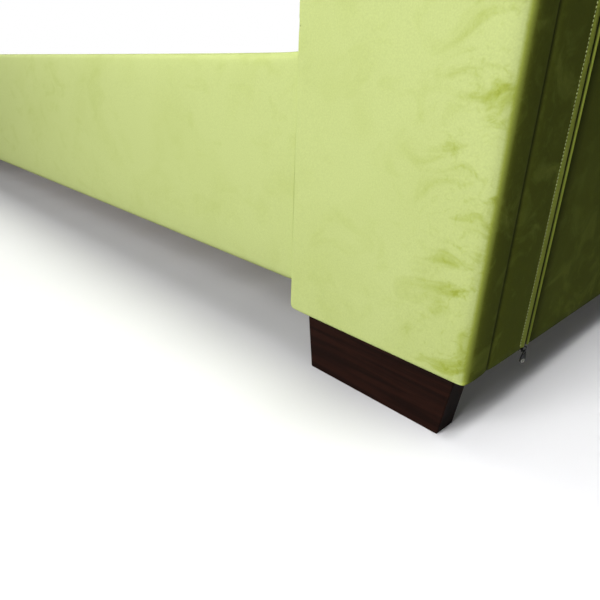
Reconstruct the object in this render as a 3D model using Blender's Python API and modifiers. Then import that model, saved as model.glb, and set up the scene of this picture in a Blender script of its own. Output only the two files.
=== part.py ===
"""An upholstered bed with a deep box headboard, for a mattress of 1.6 m by 2 m.

The bed stands on the floor at z = 0 and is centred on the origin. +X is to the
right of somebody at its foot end, +Y runs from the foot end to the headboard.
Each object is one piece of the real bed, and sizes are in metres.
"""

import math

import bmesh
import bpy
from mathutils import Matrix

# Driving sizes
MATTRESS_WIDTH = 1.600
MATTRESS_LENGTH = 2.000
MATTRESS_ROOM = 0.010
HEADBOARD_DEPTH = 0.260
HEADBOARD_TOP = 1.050
FOOTBOARD_DEPTH = 0.080
RAIL_THICKNESS = 0.060
RAIL_RECESS = 0.003
RAIL_CORNER_RADIUS = 0.008
RAIL_CLOTH_ABOVE_SLATS = 0.012
RAIL_BOTTOM = 0.106
RAIL_TOP = 0.380
FOOT_HEIGHT = 0.070
SLAT_TOP = 0.290

# Layers of the upholstery, from the outside in
TOUCH = 0.0003
CLEARANCE = 0.010
CORNER_EASE = 0.0008
COVER = 0.0025
SIDE_FOAM = 0.015
HEAD_FRONT_FOAM = 0.030
HEAD_TOP_FOAM = 0.020
RAIL_TOP_FOAM = 0.017
HEM = 0.030
DUST_CLOTH = 0.001
REAR_CORNER_RADIUS = 0.018
FRONT_CORNER_RADIUS = 0.006
TOP_EDGE_RADIUS = 0.005

# Boards
SIDE_BOARD = 0.018
FRONT_BOARD = 0.012
BOTTOM_BOARD = 0.022
BACK_BOARD = 0.004
BACK_GAP = 0.0065
RAIL_BOARD = 0.025
FOOTBOARD_BOARD = 0.030
BOLT_RAIL = (0.040, 0.120)
BOLT_RAIL_BOTTOM = 0.130

# Slat base
SLAT_COUNT = 13
SLAT_WIDTH = 0.090
SLAT_THICKNESS = 0.018
SLAT_LENGTH = 1.600
END_SLAT_INSET = 0.065
LEDGER = (0.030, 0.040)
LEDGER_END_GAP = 0.060
WOOD_EDGE = 0.0015
BEAM = (0.045, 0.070)
BEAM_ROOM = 0.0005
CRADLE_STEEL = 0.0025
CRADLE_DEPTH = 0.045
CRADLE_BELOW_BEAM_TOP = 0.012
CENTRE_LEG_SPREAD = 0.450
LEG_FLANGE = 0.034
LEG_NECK = 0.020
LEG_PAD = 0.027

# Corner feet: planks on edge, narrower at the floor
FOOT_THICKNESS = 0.032
FOOT_TOP_LENGTH = 0.212
FOOT_FLOOR_LENGTH = 0.193
FOOT_INSET = 0.002
FOOT_END_INSET = 0.013

# Corner brackets and their bolts
BRACKET_STEEL = 0.004
BRACKET_LEG = 0.090
BRACKET_ARM = 0.064
BRACKET_BOTTOM = 0.122
BRACKET_HEIGHT = 0.100
BOLT_RADIUS = 0.004
BOLT_HOLE_RADIUS = 0.0045
BOLT_HEAD_RADIUS = 0.0075
BOLT_HEAD = 0.0055
HEAD_BOLT_LENGTH = 0.080
FOOT_BOLT_LENGTH = 0.034
BORE_EXTRA = 0.010

# Zips in the back of the headboard's cover
ZIP_FROM_SIDE = 0.1365
WINDOW_FROM_SIDE = 0.1235
FLAP_FROM_SIDE = 0.143
ZIP_TOP = 0.980
TAPE_WIDTH = 0.020
TAPE_THICKNESS = 0.0008
COIL_WIDTH = 0.0030
COIL_THICKNESS = 0.0022
COIL_GAP = 0.0012
SLIDER_WIDTH = 0.0062
SLIDER_BOTTOM = 0.0645
SLIDER_HEIGHT = 0.0105
SLIDER_PLATE = 0.0012
SLIDER_WEB = 0.0006
SLIDER_SINK = 0.0006
ARCH_WIDTH = 0.0022
ARCH_STEEL = 0.0007
ARCH_PROUD = 0.0026
ARCH_LENGTH = 0.0062
ARCH_START = 0.0010
PIVOT_RADIUS = 0.00055
PULL_EYE = 0.0052
PULL_TOP_WIDTH = 0.0048
PULL_TIP_WIDTH = 0.0068
PULL_THICKNESS = 0.0012
PULL_LENGTH = 0.0175
PULL_HOLE_RADIUS = 0.0016

SIDES = (("left", -1), ("right", 1))

# Worked out from the sizes above
WELL_WIDTH = MATTRESS_WIDTH + MATTRESS_ROOM
WELL_LENGTH = MATTRESS_LENGTH + MATTRESS_ROOM
RAIL_INNER = WELL_WIDTH / 2
RAIL_OUTER = RAIL_INNER + RAIL_THICKNESS
HALF_WIDTH = RAIL_OUTER + RAIL_RECESS
BED_LENGTH = HEADBOARD_DEPTH + WELL_LENGTH + FOOTBOARD_DEPTH
BACK_Y = (BED_LENGTH - ARCH_PROUD) / 2
FRONT_Y = -(BED_LENGTH + ARCH_PROUD) / 2
HEAD_FRONT_Y = BACK_Y - HEADBOARD_DEPTH
FOOT_BACK_Y = FRONT_Y + FOOTBOARD_DEPTH
WELL_MIDDLE_Y = (HEAD_FRONT_Y + FOOT_BACK_Y) / 2
BODY_BOTTOM = FOOT_HEIGHT
BOARD_BOTTOM = BODY_BOTTOM + COVER + TOUCH
TAPE_START = BOARD_BOTTOM
SLAT_BOTTOM = SLAT_TOP - SLAT_THICKNESS
RAIL_BOARD_FACE = RAIL_INNER + COVER + 2 * TOUCH
RAIL_BOARD_TOP = RAIL_TOP - COVER - RAIL_TOP_FOAM - 2 * TOUCH
TAPE_FACE_Y = BACK_Y - COVER - TOUCH
COIL_MIDDLE_Y = TAPE_FACE_Y - TAPE_THICKNESS / 2
PLATE_FACE_Y = BACK_Y - SLIDER_SINK
PIVOT_Y = BACK_Y + ARCH_PROUD - ARCH_STEEL - TOUCH - PIVOT_RADIUS
PIVOT_Z = SLIDER_BOTTOM + ARCH_START + ARCH_STEEL + TOUCH + PIVOT_RADIUS


def clear_scene():
    for old in list(bpy.data.objects):
        bpy.data.objects.remove(old)


def new_collection(name):
    collection = bpy.data.collections.new(name)
    bpy.context.scene.collection.children.link(collection)
    return collection


def new_material(name, colour, roughness, metallic=0.0):
    """colour is linear red, green and blue."""
    made = bpy.data.materials.new(name)
    made.use_nodes = True
    shader = made.node_tree.nodes["Principled BSDF"]
    shader.inputs["Base Color"].default_value = (*colour, 1.0)
    shader.inputs["Roughness"].default_value = roughness
    shader.inputs["Metallic"].default_value = metallic
    return made


clear_scene()
BED = new_collection("upholstered_bed")
CUTTERS = new_collection("cutters")
CUTTERS.hide_render = True

VELVET = new_material("lime_velvet", (0.42, 0.50, 0.09), 0.85)
FOAM = new_material("foam", (0.85, 0.80, 0.60), 0.95)
PINE = new_material("pine", (0.66, 0.45, 0.25), 0.60)
CHIPBOARD = new_material("chipboard", (0.50, 0.36, 0.20), 0.80)
HARDBOARD = new_material("hardboard", (0.28, 0.17, 0.09), 0.75)
DARK_WOOD = new_material("dark_stained_wood", (0.030, 0.010, 0.006), 0.40)
BLACK_STEEL = new_material("black_steel", (0.02, 0.02, 0.02), 0.45, 1.0)
BLACK_PLASTIC = new_material("black_plastic", (0.02, 0.02, 0.02), 0.50)
ZINC = new_material("zinc_steel", (0.62, 0.62, 0.60), 0.35, 1.0)
ZIP_TAPE = new_material("zip_tape", (0.30, 0.36, 0.09), 0.80)
ZIP_METAL = new_material("zip_metal", (0.03, 0.03, 0.03), 0.30, 1.0)
BLACK_FLEECE = new_material("black_fleece", (0.015, 0.015, 0.015), 0.95)


def place(obj, material, collection=BED):
    """Puts a new object in its collection, with its material."""
    for holder in list(obj.users_collection):
        holder.objects.unlink(obj)
    collection.objects.link(obj)
    obj.data.materials.clear()
    if material:
        obj.data.materials.append(material)
    return obj


def object_from(name, bm, location, material, collection=BED):
    mesh = bpy.data.meshes.new(name)
    bm.to_mesh(mesh)
    bm.free()
    obj = bpy.data.objects.new(name, mesh)
    obj.location = location
    return place(obj, material, collection)


def middle(low, high):
    return [(a + b) / 2 for a, b in zip(low, high)]


def block_mesh(low, high):
    """A box as a bmesh, centred on its own origin."""
    bm = bmesh.new()
    bmesh.ops.create_cube(bm, size=1.0)
    bmesh.ops.scale(bm, vec=[b - a for a, b in zip(low, high)], verts=bm.verts)
    return bm


def bevel(obj, width, segments=2):
    modifier = obj.modifiers.new("Rounded edges", "BEVEL")
    modifier.width = width
    modifier.segments = segments
    modifier.limit_method = "ANGLE"
    return obj


def block(name, low, high, material, edge=0.0, collection=BED):
    """A straight piece between two corners, such as a board."""
    obj = object_from(name, block_mesh(low, high), middle(low, high), material, collection)
    if edge:
        bevel(obj, edge)
    return obj


def cutter_block(name, low, high):
    obj = block(name, low, high, None, collection=CUTTERS)
    obj.hide_render = True
    obj.display_type = "WIRE"
    return obj


def cut(obj, *cutters):
    for cutter in cutters:
        modifier = obj.modifiers.new("Cut " + cutter.name, "BOOLEAN")
        modifier.operation = "DIFFERENCE"
        modifier.object = cutter
    return obj


def join_to(obj, *others):
    """Unions helpers into a piece, so that it is one solid."""
    for other in others:
        modifier = obj.modifiers.new("Join " + other.name, "BOOLEAN")
        modifier.operation = "UNION"
        modifier.object = other
        other.hide_render = True
        other.display_type = "WIRE"
    return obj


def outline_mesh(name, points, height, location, material, up="Z"):
    """A flat outline drawn as a 2D curve and thickened, made a mesh so that it can be cut."""
    curve = bpy.data.curves.new(name, "CURVE")
    curve.dimensions = "2D"
    curve.fill_mode = "BOTH"
    curve.extrude = height / 2
    spline = curve.splines.new("POLY")
    spline.points.add(len(points) - 1)
    for point, (across, along) in zip(spline.points, points):
        point.co = (across, along, 0.0, 1.0)
    spline.use_cyclic_u = True
    drawn = bpy.data.objects.new(name + "_outline", curve)
    CUTTERS.objects.link(drawn)
    bpy.context.view_layer.update()
    graph = bpy.context.evaluated_depsgraph_get()
    mesh = bpy.data.meshes.new_from_object(drawn.evaluated_get(graph))
    bpy.data.objects.remove(drawn)
    bm = bmesh.new()
    bm.from_mesh(mesh)
    bmesh.ops.remove_doubles(bm, verts=bm.verts, dist=0.000001)
    bmesh.ops.recalc_face_normals(bm, faces=bm.faces)
    bm.to_mesh(mesh)
    bm.free()
    mesh.name = name
    obj = bpy.data.objects.new(name, mesh)
    obj.location = location
    obj.rotation_euler = {"Z": (0, 0, 0), "Y": (math.pi / 2, 0, 0)}[up]
    return place(obj, material)


def soft_block_mesh(low, high, rear, front, top, closed=False):
    """A box with its own radius on the rear corners, the front corners and the top edges.

    Its bottom is open unless closed is set.
    """
    bm = block_mesh(low, high)
    half = [(b - a) / 2 for a, b in zip(low, high)]
    near = 1e-6

    def upright(edge, sign):
        ends = [v.co for v in edge.verts]
        return abs(ends[0].z - ends[1].z) > near and all(sign * c.y > 0 for c in ends)

    for sign, radius, steps in ((1, rear, 4), (-1, front, 2)):
        if radius > 0:
            edges = [e for e in bm.edges if upright(e, sign)]
            bmesh.ops.bevel(
                bm, geom=edges, offset=radius, segments=steps, profile=0.5, affect="EDGES", material=-1
            )
    if not closed:
        bottom = [f for f in bm.faces if all(abs(v.co.z + half[2]) < near for v in f.verts)]
        bmesh.ops.delete(bm, geom=bottom, context="FACES_ONLY")
    if top > 0:
        rim = [e for e in bm.edges if all(abs(v.co.z - half[2]) < near for v in e.verts)]
        bmesh.ops.bevel(
            bm, geom=rim, offset=top, segments=2, profile=0.5, affect="EDGES", material=-1
        )
    return bm


def turn_hem_under(bm, half_width, half_depth, hem):
    """Continues the open bottom edge of a cover inwards, as a flat hem."""
    rim = [e for e in bm.edges if e.is_boundary]
    made = bmesh.ops.extrude_edge_only(bm, edges=rim)["geom"]
    for vert in (g for g in made if isinstance(g, bmesh.types.BMVert)):
        vert.co.x = max(-half_width + hem, min(half_width - hem, vert.co.x))
        vert.co.y = max(-half_depth + hem, min(half_depth - hem, vert.co.y))
    bmesh.ops.remove_doubles(bm, verts=bm.verts, dist=0.00001)
    bmesh.ops.recalc_face_normals(bm, faces=bm.faces)


def solidify_inwards(obj, thickness):
    modifier = obj.modifiers.new("Cloth thickness", "SOLIDIFY")
    modifier.thickness = thickness
    modifier.offset = -1.0
    modifier.use_even_offset = True
    return obj


def cover_shell(name, low, high, rear, front, top, hem):
    """A cloth cover that is pulled down over a block, with its hem turned under."""
    bm = soft_block_mesh(low, high, rear, front, top)
    half_width, half_depth, _ = [(b - a) / 2 for a, b in zip(low, high)]
    turn_hem_under(bm, half_width, half_depth, hem)
    obj = object_from(name, bm, middle(low, high), VELVET)
    return solidify_inwards(obj, COVER)


def inside_cover(low, high, radii):
    """The corners and radii of the block of foam that a cover is pulled over."""
    distance = COVER + TOUCH
    return (
        [c + distance for c in low],
        [c - distance for c in high],
        [r - distance + CORNER_EASE for r in radii],
    )


# ---------------------------------------------------------------- bolts and brackets


def rod(name, centre, radius, length, axis, collection, material=None, sides=16):
    """A cylinder, or a prism if it has few sides. axis is X or Y."""
    turns = {"X": (0, math.pi / 2, 0), "Y": (math.pi / 2, 0, 0)}
    bpy.ops.mesh.primitive_cylinder_add(
        vertices=sides, radius=radius, depth=length, location=centre, rotation=turns[axis]
    )
    obj = place(bpy.context.object, material, collection)
    obj.name = name
    if sides > 8:
        obj.data.shade_smooth()
        obj.data.set_sharp_from_angle(angle=math.radians(40))
    return obj


def hex_bolt(name, seat, length, direction):
    """A hexagon bolt along Y, and the drill for its hole.

    seat is where its head meets the bracket, and direction is +1 if it points to +Y.
    """
    x, y, z = seat
    head_y = y - direction * (TOUCH + BOLT_HEAD / 2)
    tip_y = y + direction * length
    bolt = rod(name, (x, (head_y + tip_y) / 2, z), BOLT_RADIUS, abs(tip_y - head_y), "Y", BED, ZINC)
    head = rod(name + "_head", (x, head_y, z), BOLT_HEAD_RADIUS, BOLT_HEAD, "Y", CUTTERS, sides=6)
    join_to(bolt, head)
    return drill(name + "_drill", (x, (y + tip_y) / 2, z), BOLT_HOLE_RADIUS, length + BORE_EXTRA)


def drill(name, centre, radius, length, axis="Y"):
    obj = rod(name, centre, radius, length, axis, CUTTERS)
    obj.hide_render = True
    obj.display_type = "WIRE"
    return obj


def corner_bracket(label, side, end):
    """A steel angle with a bolt in an inner corner of the bed, and the drill for its hole.

    side is +1 on the right, and end is +1 at the head.
    """
    face = (HEAD_FRONT_Y if end > 0 else FOOT_BACK_Y) - end * TOUCH
    inner = RAIL_BOARD_FACE - TOUCH
    points = [
        (inner, face),
        (inner, face - end * BRACKET_LEG),
        (inner - BRACKET_STEEL, face - end * BRACKET_LEG),
        (inner - BRACKET_STEEL, face - end * BRACKET_STEEL),
        (inner - BRACKET_ARM, face - end * BRACKET_STEEL),
        (inner - BRACKET_ARM, face),
    ]
    centre_z = BRACKET_BOTTOM + BRACKET_HEIGHT / 2
    bracket = outline_mesh(
        f"{label}_bracket",
        [(side * x, y) for x, y in points],
        BRACKET_HEIGHT,
        (0, 0, centre_z),
        BLACK_STEEL,
    )
    seat = (side * (inner - BRACKET_ARM / 2), face - end * BRACKET_STEEL, centre_z)
    length = HEAD_BOLT_LENGTH if end > 0 else FOOT_BOLT_LENGTH
    hole = hex_bolt(f"{label}_bolt", seat, length, end)
    cut(bracket, hole)
    return hole


# ---------------------------------------------------------------- corner feet


def corner_foot(name, centre, along_x):
    """A plank foot on edge, tapered at both ends. centre is the middle of its footprint."""
    size = (FOOT_THICKNESS, FOOT_TOP_LENGTH, FOOT_HEIGHT - TOUCH)
    low = [-s / 2 for s in size]
    high = [s / 2 for s in size]
    bm = block_mesh(low, high)
    for vert in bm.verts:
        if vert.co.z < 0:
            vert.co.y *= FOOT_FLOOR_LENGTH / FOOT_TOP_LENGTH
    obj = object_from(name, bm, (centre[0], centre[1], size[2] / 2), DARK_WOOD)
    obj.rotation_euler = (0, 0, math.pi / 2 if along_x else 0)
    return bevel(obj, WOOD_EDGE)


def make_feet(label, side):
    """The headboard's foot runs along the bed's side, the footboard's along its front."""
    from_side = HALF_WIDTH - FOOT_INSET - FOOT_THICKNESS / 2
    from_back = BACK_Y - FOOT_END_INSET - FOOT_TOP_LENGTH / 2
    corner_foot(f"head_foot_{label}", (side * from_side, from_back), False)
    from_side = HALF_WIDTH - FOOT_END_INSET - FOOT_TOP_LENGTH / 2
    from_front = FRONT_Y + FOOT_INSET + FOOT_THICKNESS / 2
    corner_foot(f"foot_end_foot_{label}", (side * from_side, from_front), True)


# ---------------------------------------------------------------- headboard


HEAD_LOW = (-HALF_WIDTH, HEAD_FRONT_Y, BODY_BOTTOM)
HEAD_HIGH = (HALF_WIDTH, BACK_Y, HEADBOARD_TOP)
HEAD_RADII = (REAR_CORNER_RADIUS, FRONT_CORNER_RADIUS, TOP_EDGE_RADIUS)
CARCASS_X = HALF_WIDTH - COVER - SIDE_FOAM - 2 * TOUCH
CARCASS_FRONT = HEAD_FRONT_Y + COVER + HEAD_FRONT_FOAM + 2 * TOUCH
CARCASS_TOP = HEADBOARD_TOP - COVER - HEAD_TOP_FOAM - 2 * TOUCH
BACK_BOARD_REAR = BACK_Y - COVER - BACK_GAP
INNER_FRONT = CARCASS_FRONT + FRONT_BOARD + TOUCH
INNER_BACK = BACK_BOARD_REAR - BACK_BOARD - TOUCH


def make_headboard_carcass(holes):
    """Boards that make the headboard's hollow box, and the timber that the rail bolts go into."""
    block(
        "headboard_bottom_board",
        (-CARCASS_X, INNER_FRONT, BOARD_BOTTOM),
        (CARCASS_X, INNER_BACK, BOARD_BOTTOM + BOTTOM_BOARD),
        CHIPBOARD,
    )
    block(
        "headboard_top_board",
        (-CARCASS_X, INNER_FRONT, CARCASS_TOP - SIDE_BOARD),
        (CARCASS_X, INNER_BACK, CARCASS_TOP),
        CHIPBOARD,
    )
    low_z = BOARD_BOTTOM + BOTTOM_BOARD + TOUCH
    high_z = CARCASS_TOP - SIDE_BOARD - TOUCH
    for label, side in SIDES:
        xs = sorted((side * CARCASS_X, side * (CARCASS_X - SIDE_BOARD)))
        block(
            f"headboard_side_board_{label}",
            (xs[0], INNER_FRONT, low_z),
            (xs[1], INNER_BACK, high_z),
            CHIPBOARD,
        )
    front = block(
        "headboard_front_board",
        (-CARCASS_X, CARCASS_FRONT, BOARD_BOTTOM),
        (CARCASS_X, CARCASS_FRONT + FRONT_BOARD, CARCASS_TOP),
        CHIPBOARD,
    )
    block(
        "headboard_back_board",
        (-CARCASS_X, BACK_BOARD_REAR - BACK_BOARD, BOARD_BOTTOM),
        (CARCASS_X, BACK_BOARD_REAR, CARCASS_TOP),
        HARDBOARD,
    )
    rail_end = CARCASS_X - SIDE_BOARD - TOUCH
    bolt_rail = block(
        "headboard_bolt_rail",
        (-rail_end, INNER_FRONT, BOLT_RAIL_BOTTOM),
        (rail_end, INNER_FRONT + BOLT_RAIL[0], BOLT_RAIL_BOTTOM + BOLT_RAIL[1]),
        PINE,
    )
    cut(front, *holes)
    cut(bolt_rail, *holes)


def make_headboard_padding(holes):
    """Foam on the front, sides and top of the carcass."""
    low, high, radii = inside_cover(HEAD_LOW, HEAD_HIGH, HEAD_RADII)
    bm = soft_block_mesh(low, high, *radii, closed=True)
    padding = object_from("headboard_padding", bm, middle(low, high), FOAM)
    room = cutter_block(
        "headboard_padding_room",
        (-CARCASS_X - TOUCH, CARCASS_FRONT - TOUCH, BODY_BOTTOM - CLEARANCE),
        (CARCASS_X + TOUCH, BACK_Y + CLEARANCE, CARCASS_TOP + TOUCH),
    )
    cut(padding, room, *holes)


def make_headboard_cover(holes):
    """The zip-off velvet cover, its back panel between the two zips, and the cloth under it."""
    window_x = HALF_WIDTH - WINDOW_FROM_SIDE
    flap_x = HALF_WIDTH - FLAP_FROM_SIDE
    cover = cover_shell("headboard_cover", HEAD_LOW, HEAD_HIGH, *HEAD_RADII, HEM)
    window = cutter_block(
        "zip_window",
        (-window_x, BACK_Y - HEM - CLEARANCE, BODY_BOTTOM - CLEARANCE),
        (window_x, BACK_Y + CLEARANCE, ZIP_TOP),
    )
    cut(cover, window, *holes)
    panel = block(
        "headboard_back_panel",
        (-flap_x, BACK_Y - COVER, BODY_BOTTOM),
        (flap_x, BACK_Y, ZIP_TOP - TOUCH),
        VELVET,
    )
    hem = cutter_block(
        "back_panel_hem",
        (-flap_x, BACK_Y - HEM, BODY_BOTTOM),
        (flap_x, BACK_Y - COVER / 2, BODY_BOTTOM + COVER),
    )
    join_to(panel, hem)
    cloth_edge = HEM + TOUCH
    block(
        "headboard_dust_cloth",
        (-HALF_WIDTH + cloth_edge, HEAD_FRONT_Y + cloth_edge, BODY_BOTTOM),
        (HALF_WIDTH - cloth_edge, BACK_Y - cloth_edge, BODY_BOTTOM + DUST_CLOTH),
        BLACK_FLEECE,
    )


# ---------------------------------------------------------------- zips


def zip_tape(name, side, outwards):
    """One half of a zip: a tape with its coil along the edge that meets the other half.

    outwards is +1 for the half next to the bed's side, -1 for the half on the back panel.
    """
    zip_x = HALF_WIDTH - ZIP_FROM_SIDE
    near = zip_x + outwards * COIL_GAP / 2
    coil = near + outwards * COIL_WIDTH
    far = near + outwards * TAPE_WIDTH
    tape_back = TAPE_FACE_Y - TAPE_THICKNESS
    coil_front = COIL_MIDDLE_Y + COIL_THICKNESS / 2
    coil_back = COIL_MIDDLE_Y - COIL_THICKNESS / 2
    points = [
        (near, coil_back),
        (near, coil_front),
        (coil, coil_front),
        (coil, TAPE_FACE_Y),
        (far, TAPE_FACE_Y),
        (far, tape_back),
        (coil, tape_back),
        (coil, coil_back),
    ]
    height = ZIP_TOP - TAPE_START - TOUCH
    return outline_mesh(
        name,
        [(side * x, y) for x, y in points],
        height,
        (0, 0, TAPE_START + height / 2),
        ZIP_TAPE,
    )


def zip_slider(name, x):
    """Two plates joined by a thin web that runs between the coils, with an arch for the pull."""
    top = SLIDER_BOTTOM + SLIDER_HEIGHT
    rear_face = COIL_MIDDLE_Y - COIL_THICKNESS / 2 - TOUCH
    in_front = PLATE_FACE_Y - SLIDER_PLATE / 2
    in_rear = rear_face - SLIDER_PLATE / 2
    half = SLIDER_WIDTH / 2
    slider = block(
        name,
        (x - half, PLATE_FACE_Y - SLIDER_PLATE, SLIDER_BOTTOM),
        (x + half, PLATE_FACE_Y, top),
        ZIP_METAL,
    )
    rear_plate = cutter_block(
        name + "_rear_plate",
        (x - half, rear_face - SLIDER_PLATE, SLIDER_BOTTOM),
        (x + half, rear_face, top),
    )
    web = cutter_block(
        name + "_web",
        (x - SLIDER_WEB / 2, in_rear, SLIDER_BOTTOM + ARCH_START),
        (x + SLIDER_WEB / 2, in_front, top - ARCH_START),
    )
    arch_low = SLIDER_BOTTOM + ARCH_START
    arch_high = arch_low + ARCH_LENGTH
    arch = cutter_block(
        name + "_arch",
        (x - ARCH_WIDTH / 2, in_front, arch_low),
        (x + ARCH_WIDTH / 2, BACK_Y + ARCH_PROUD, arch_high),
    )
    eye = cutter_block(
        name + "_arch_eye",
        (x - ARCH_WIDTH, PLATE_FACE_Y, arch_low + ARCH_STEEL),
        (x + ARCH_WIDTH, BACK_Y + ARCH_PROUD - ARCH_STEEL, arch_high - ARCH_STEEL),
    )
    join_to(slider, rear_plate, web, arch)
    return cut(slider, eye)


def zip_pull(name, x):
    """The tab that hangs from the slider's arch by a thin bar, about which it turns."""
    top_half = PULL_TOP_WIDTH / 2
    tip_half = PULL_TIP_WIDTH / 2
    tip_z = tip_half - PULL_LENGTH
    steps = 10
    turns = [math.pi * (1 + step / steps) for step in range(steps + 1)]
    points = [(tip_half * math.cos(a), tip_z + tip_half * math.sin(a)) for a in turns]
    points += [(top_half, 0.0), (-top_half, 0.0)]
    pull = outline_mesh(name, points, PULL_THICKNESS, (x, PIVOT_Y, PIVOT_Z), ZIP_METAL, "Y")
    eye_half = ARCH_WIDTH / 2 + TOUCH
    eye = cutter_block(
        name + "_eye",
        (x - eye_half, PIVOT_Y - PULL_THICKNESS, PIVOT_Z - PULL_EYE),
        (x + eye_half, PIVOT_Y + PULL_THICKNESS, PIVOT_Z + PULL_EYE),
    )
    hole = drill(
        name + "_hole", (x, PIVOT_Y, PIVOT_Z + tip_z), PULL_HOLE_RADIUS, 3 * PULL_THICKNESS
    )
    bar = rod(
        name + "_bar", (x, PIVOT_Y, PIVOT_Z), PIVOT_RADIUS, PULL_TOP_WIDTH - TOUCH, "X", CUTTERS
    )
    cut(pull, eye, hole)
    return join_to(pull, bar)


def make_zip(label, side):
    zip_tape(f"zip_tape_outer_{label}", side, 1)
    zip_tape(f"zip_tape_inner_{label}", side, -1)
    x = side * (HALF_WIDTH - ZIP_FROM_SIDE)
    slider = zip_slider(f"zip_slider_{label}", x)
    pull = zip_pull(f"zip_pull_{label}", x)
    pull.parent = slider
    pull.matrix_parent_inverse = Matrix.Translation(slider.location).inverted()


# ---------------------------------------------------------------- side rails


RAIL_START = FOOT_BACK_Y + TOUCH
RAIL_END = HEAD_FRONT_Y - TOUCH
RAIL_BOARD_BOTTOM = RAIL_BOTTOM + COVER + TOUCH


def rail_cover_profile():
    """Points across the cloth's outer face: up inside the rail, over its top and down to underneath."""
    corners = (
        (RAIL_INNER + RAIL_CORNER_RADIUS, RAIL_TOP - RAIL_CORNER_RADIUS, math.pi),
        (RAIL_OUTER - RAIL_CORNER_RADIUS, RAIL_TOP - RAIL_CORNER_RADIUS, math.pi / 2),
        (RAIL_OUTER - RAIL_CORNER_RADIUS, RAIL_BOTTOM + RAIL_CORNER_RADIUS, 0.0),
    )
    points = [(RAIL_INNER, SLAT_TOP + RAIL_CLOTH_ABOVE_SLATS)]
    steps = 3
    for x, z, start in corners:
        for step in range(steps + 1):
            angle = start - math.pi / 2 * step / steps
            points.append(
                (x + RAIL_CORNER_RADIUS * math.cos(angle), z + RAIL_CORNER_RADIUS * math.sin(angle))
            )
    points.append((RAIL_BOARD_FACE, RAIL_BOTTOM))
    return points


def make_rail_cover(label, side):
    bm = bmesh.new()
    line = [bm.verts.new((side * x, RAIL_START, z)) for x, z in rail_cover_profile()]
    edges = [bm.edges.new(pair) for pair in zip(line, line[1:])]
    swept = bmesh.ops.extrude_edge_only(bm, edges=edges)["geom"]
    far_end = [g for g in swept if isinstance(g, bmesh.types.BMVert)]
    bmesh.ops.translate(bm, vec=(0, RAIL_END - RAIL_START, 0), verts=far_end)
    bmesh.ops.recalc_face_normals(bm, faces=bm.faces)
    outermost = max(bm.faces, key=lambda face: side * face.calc_center_median().x)
    if side * outermost.normal.x < 0:
        bmesh.ops.reverse_faces(bm, faces=bm.faces)
    cover = object_from(f"side_rail_cover_{label}", bm, (0, 0, 0), VELVET)
    return solidify_inwards(cover, COVER)


def rail_block(name, side, near, far, low_y, high_y, low_z, high_z, material, edge=0.0):
    """A block that runs along the bed. near and far are distances from the bed's middle."""
    xs = sorted((side * near, side * far))
    return block(name, (xs[0], low_y, low_z), (xs[1], high_y, high_z), material, edge)


def make_rail_inside(label, side):
    """The board, the foam on its outside and top, and the ledger that carries the slats."""
    board_outer = RAIL_BOARD_FACE + RAIL_BOARD
    rail_block(
        f"side_rail_board_{label}",
        side,
        RAIL_BOARD_FACE,
        board_outer,
        RAIL_START,
        RAIL_END,
        RAIL_BOARD_BOTTOM,
        RAIL_BOARD_TOP,
        CHIPBOARD,
    )
    padding = rail_block(
        f"side_rail_padding_{label}",
        side,
        RAIL_BOARD_FACE,
        RAIL_OUTER - COVER - TOUCH,
        RAIL_START,
        RAIL_END,
        RAIL_BOARD_BOTTOM,
        RAIL_TOP - COVER - TOUCH,
        FOAM,
        edge=RAIL_CORNER_RADIUS - COVER + CORNER_EASE,
    )
    xs = sorted((side * (RAIL_BOARD_FACE - CLEARANCE), side * (board_outer + TOUCH)))
    board_room = cutter_block(
        f"side_rail_board_room_{label}",
        (xs[0], RAIL_START - CLEARANCE, RAIL_BOARD_BOTTOM - CLEARANCE),
        (xs[1], RAIL_END + CLEARANCE, RAIL_BOARD_TOP + TOUCH),
    )
    cut(padding, board_room)
    ledger_face = RAIL_BOARD_FACE - TOUCH
    ledger_top = SLAT_BOTTOM - TOUCH
    rail_block(
        f"slat_ledger_{label}",
        side,
        ledger_face - LEDGER[0],
        ledger_face,
        RAIL_START + LEDGER_END_GAP,
        RAIL_END - LEDGER_END_GAP,
        ledger_top - LEDGER[1],
        ledger_top,
        PINE,
        edge=WOOD_EDGE,
    )


# ---------------------------------------------------------------- footboard


FOOT_LOW = (-HALF_WIDTH, FRONT_Y, BODY_BOTTOM)
FOOT_HIGH = (HALF_WIDTH, FOOT_BACK_Y, RAIL_TOP)
FOOT_RADII = (FRONT_CORNER_RADIUS, FRONT_CORNER_RADIUS, TOP_EDGE_RADIUS)


def make_footboard(holes):
    cover = cover_shell("footboard_cover", FOOT_LOW, FOOT_HIGH, *FOOT_RADII, HEM)
    cut(cover, *holes)
    board_rear = FOOT_BACK_Y - COVER - TOUCH
    board_front = board_rear - FOOTBOARD_BOARD
    board_top = RAIL_TOP - COVER - RAIL_TOP_FOAM - 2 * TOUCH
    board = block(
        "footboard_board",
        (-CARCASS_X, board_front, BOARD_BOTTOM),
        (CARCASS_X, board_rear, board_top),
        CHIPBOARD,
    )
    cut(board, *holes)
    low, high, radii = inside_cover(FOOT_LOW, FOOT_HIGH, FOOT_RADII)
    bm = soft_block_mesh(low, high, *radii, closed=True)
    padding = object_from("footboard_padding", bm, middle(low, high), FOAM)
    room = cutter_block(
        "footboard_padding_room",
        (-CARCASS_X - TOUCH, board_front - TOUCH, BODY_BOTTOM - CLEARANCE),
        (CARCASS_X + TOUCH, FOOT_BACK_Y + CLEARANCE, board_top + TOUCH),
    )
    cut(padding, room)


# ---------------------------------------------------------------- slat base


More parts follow.
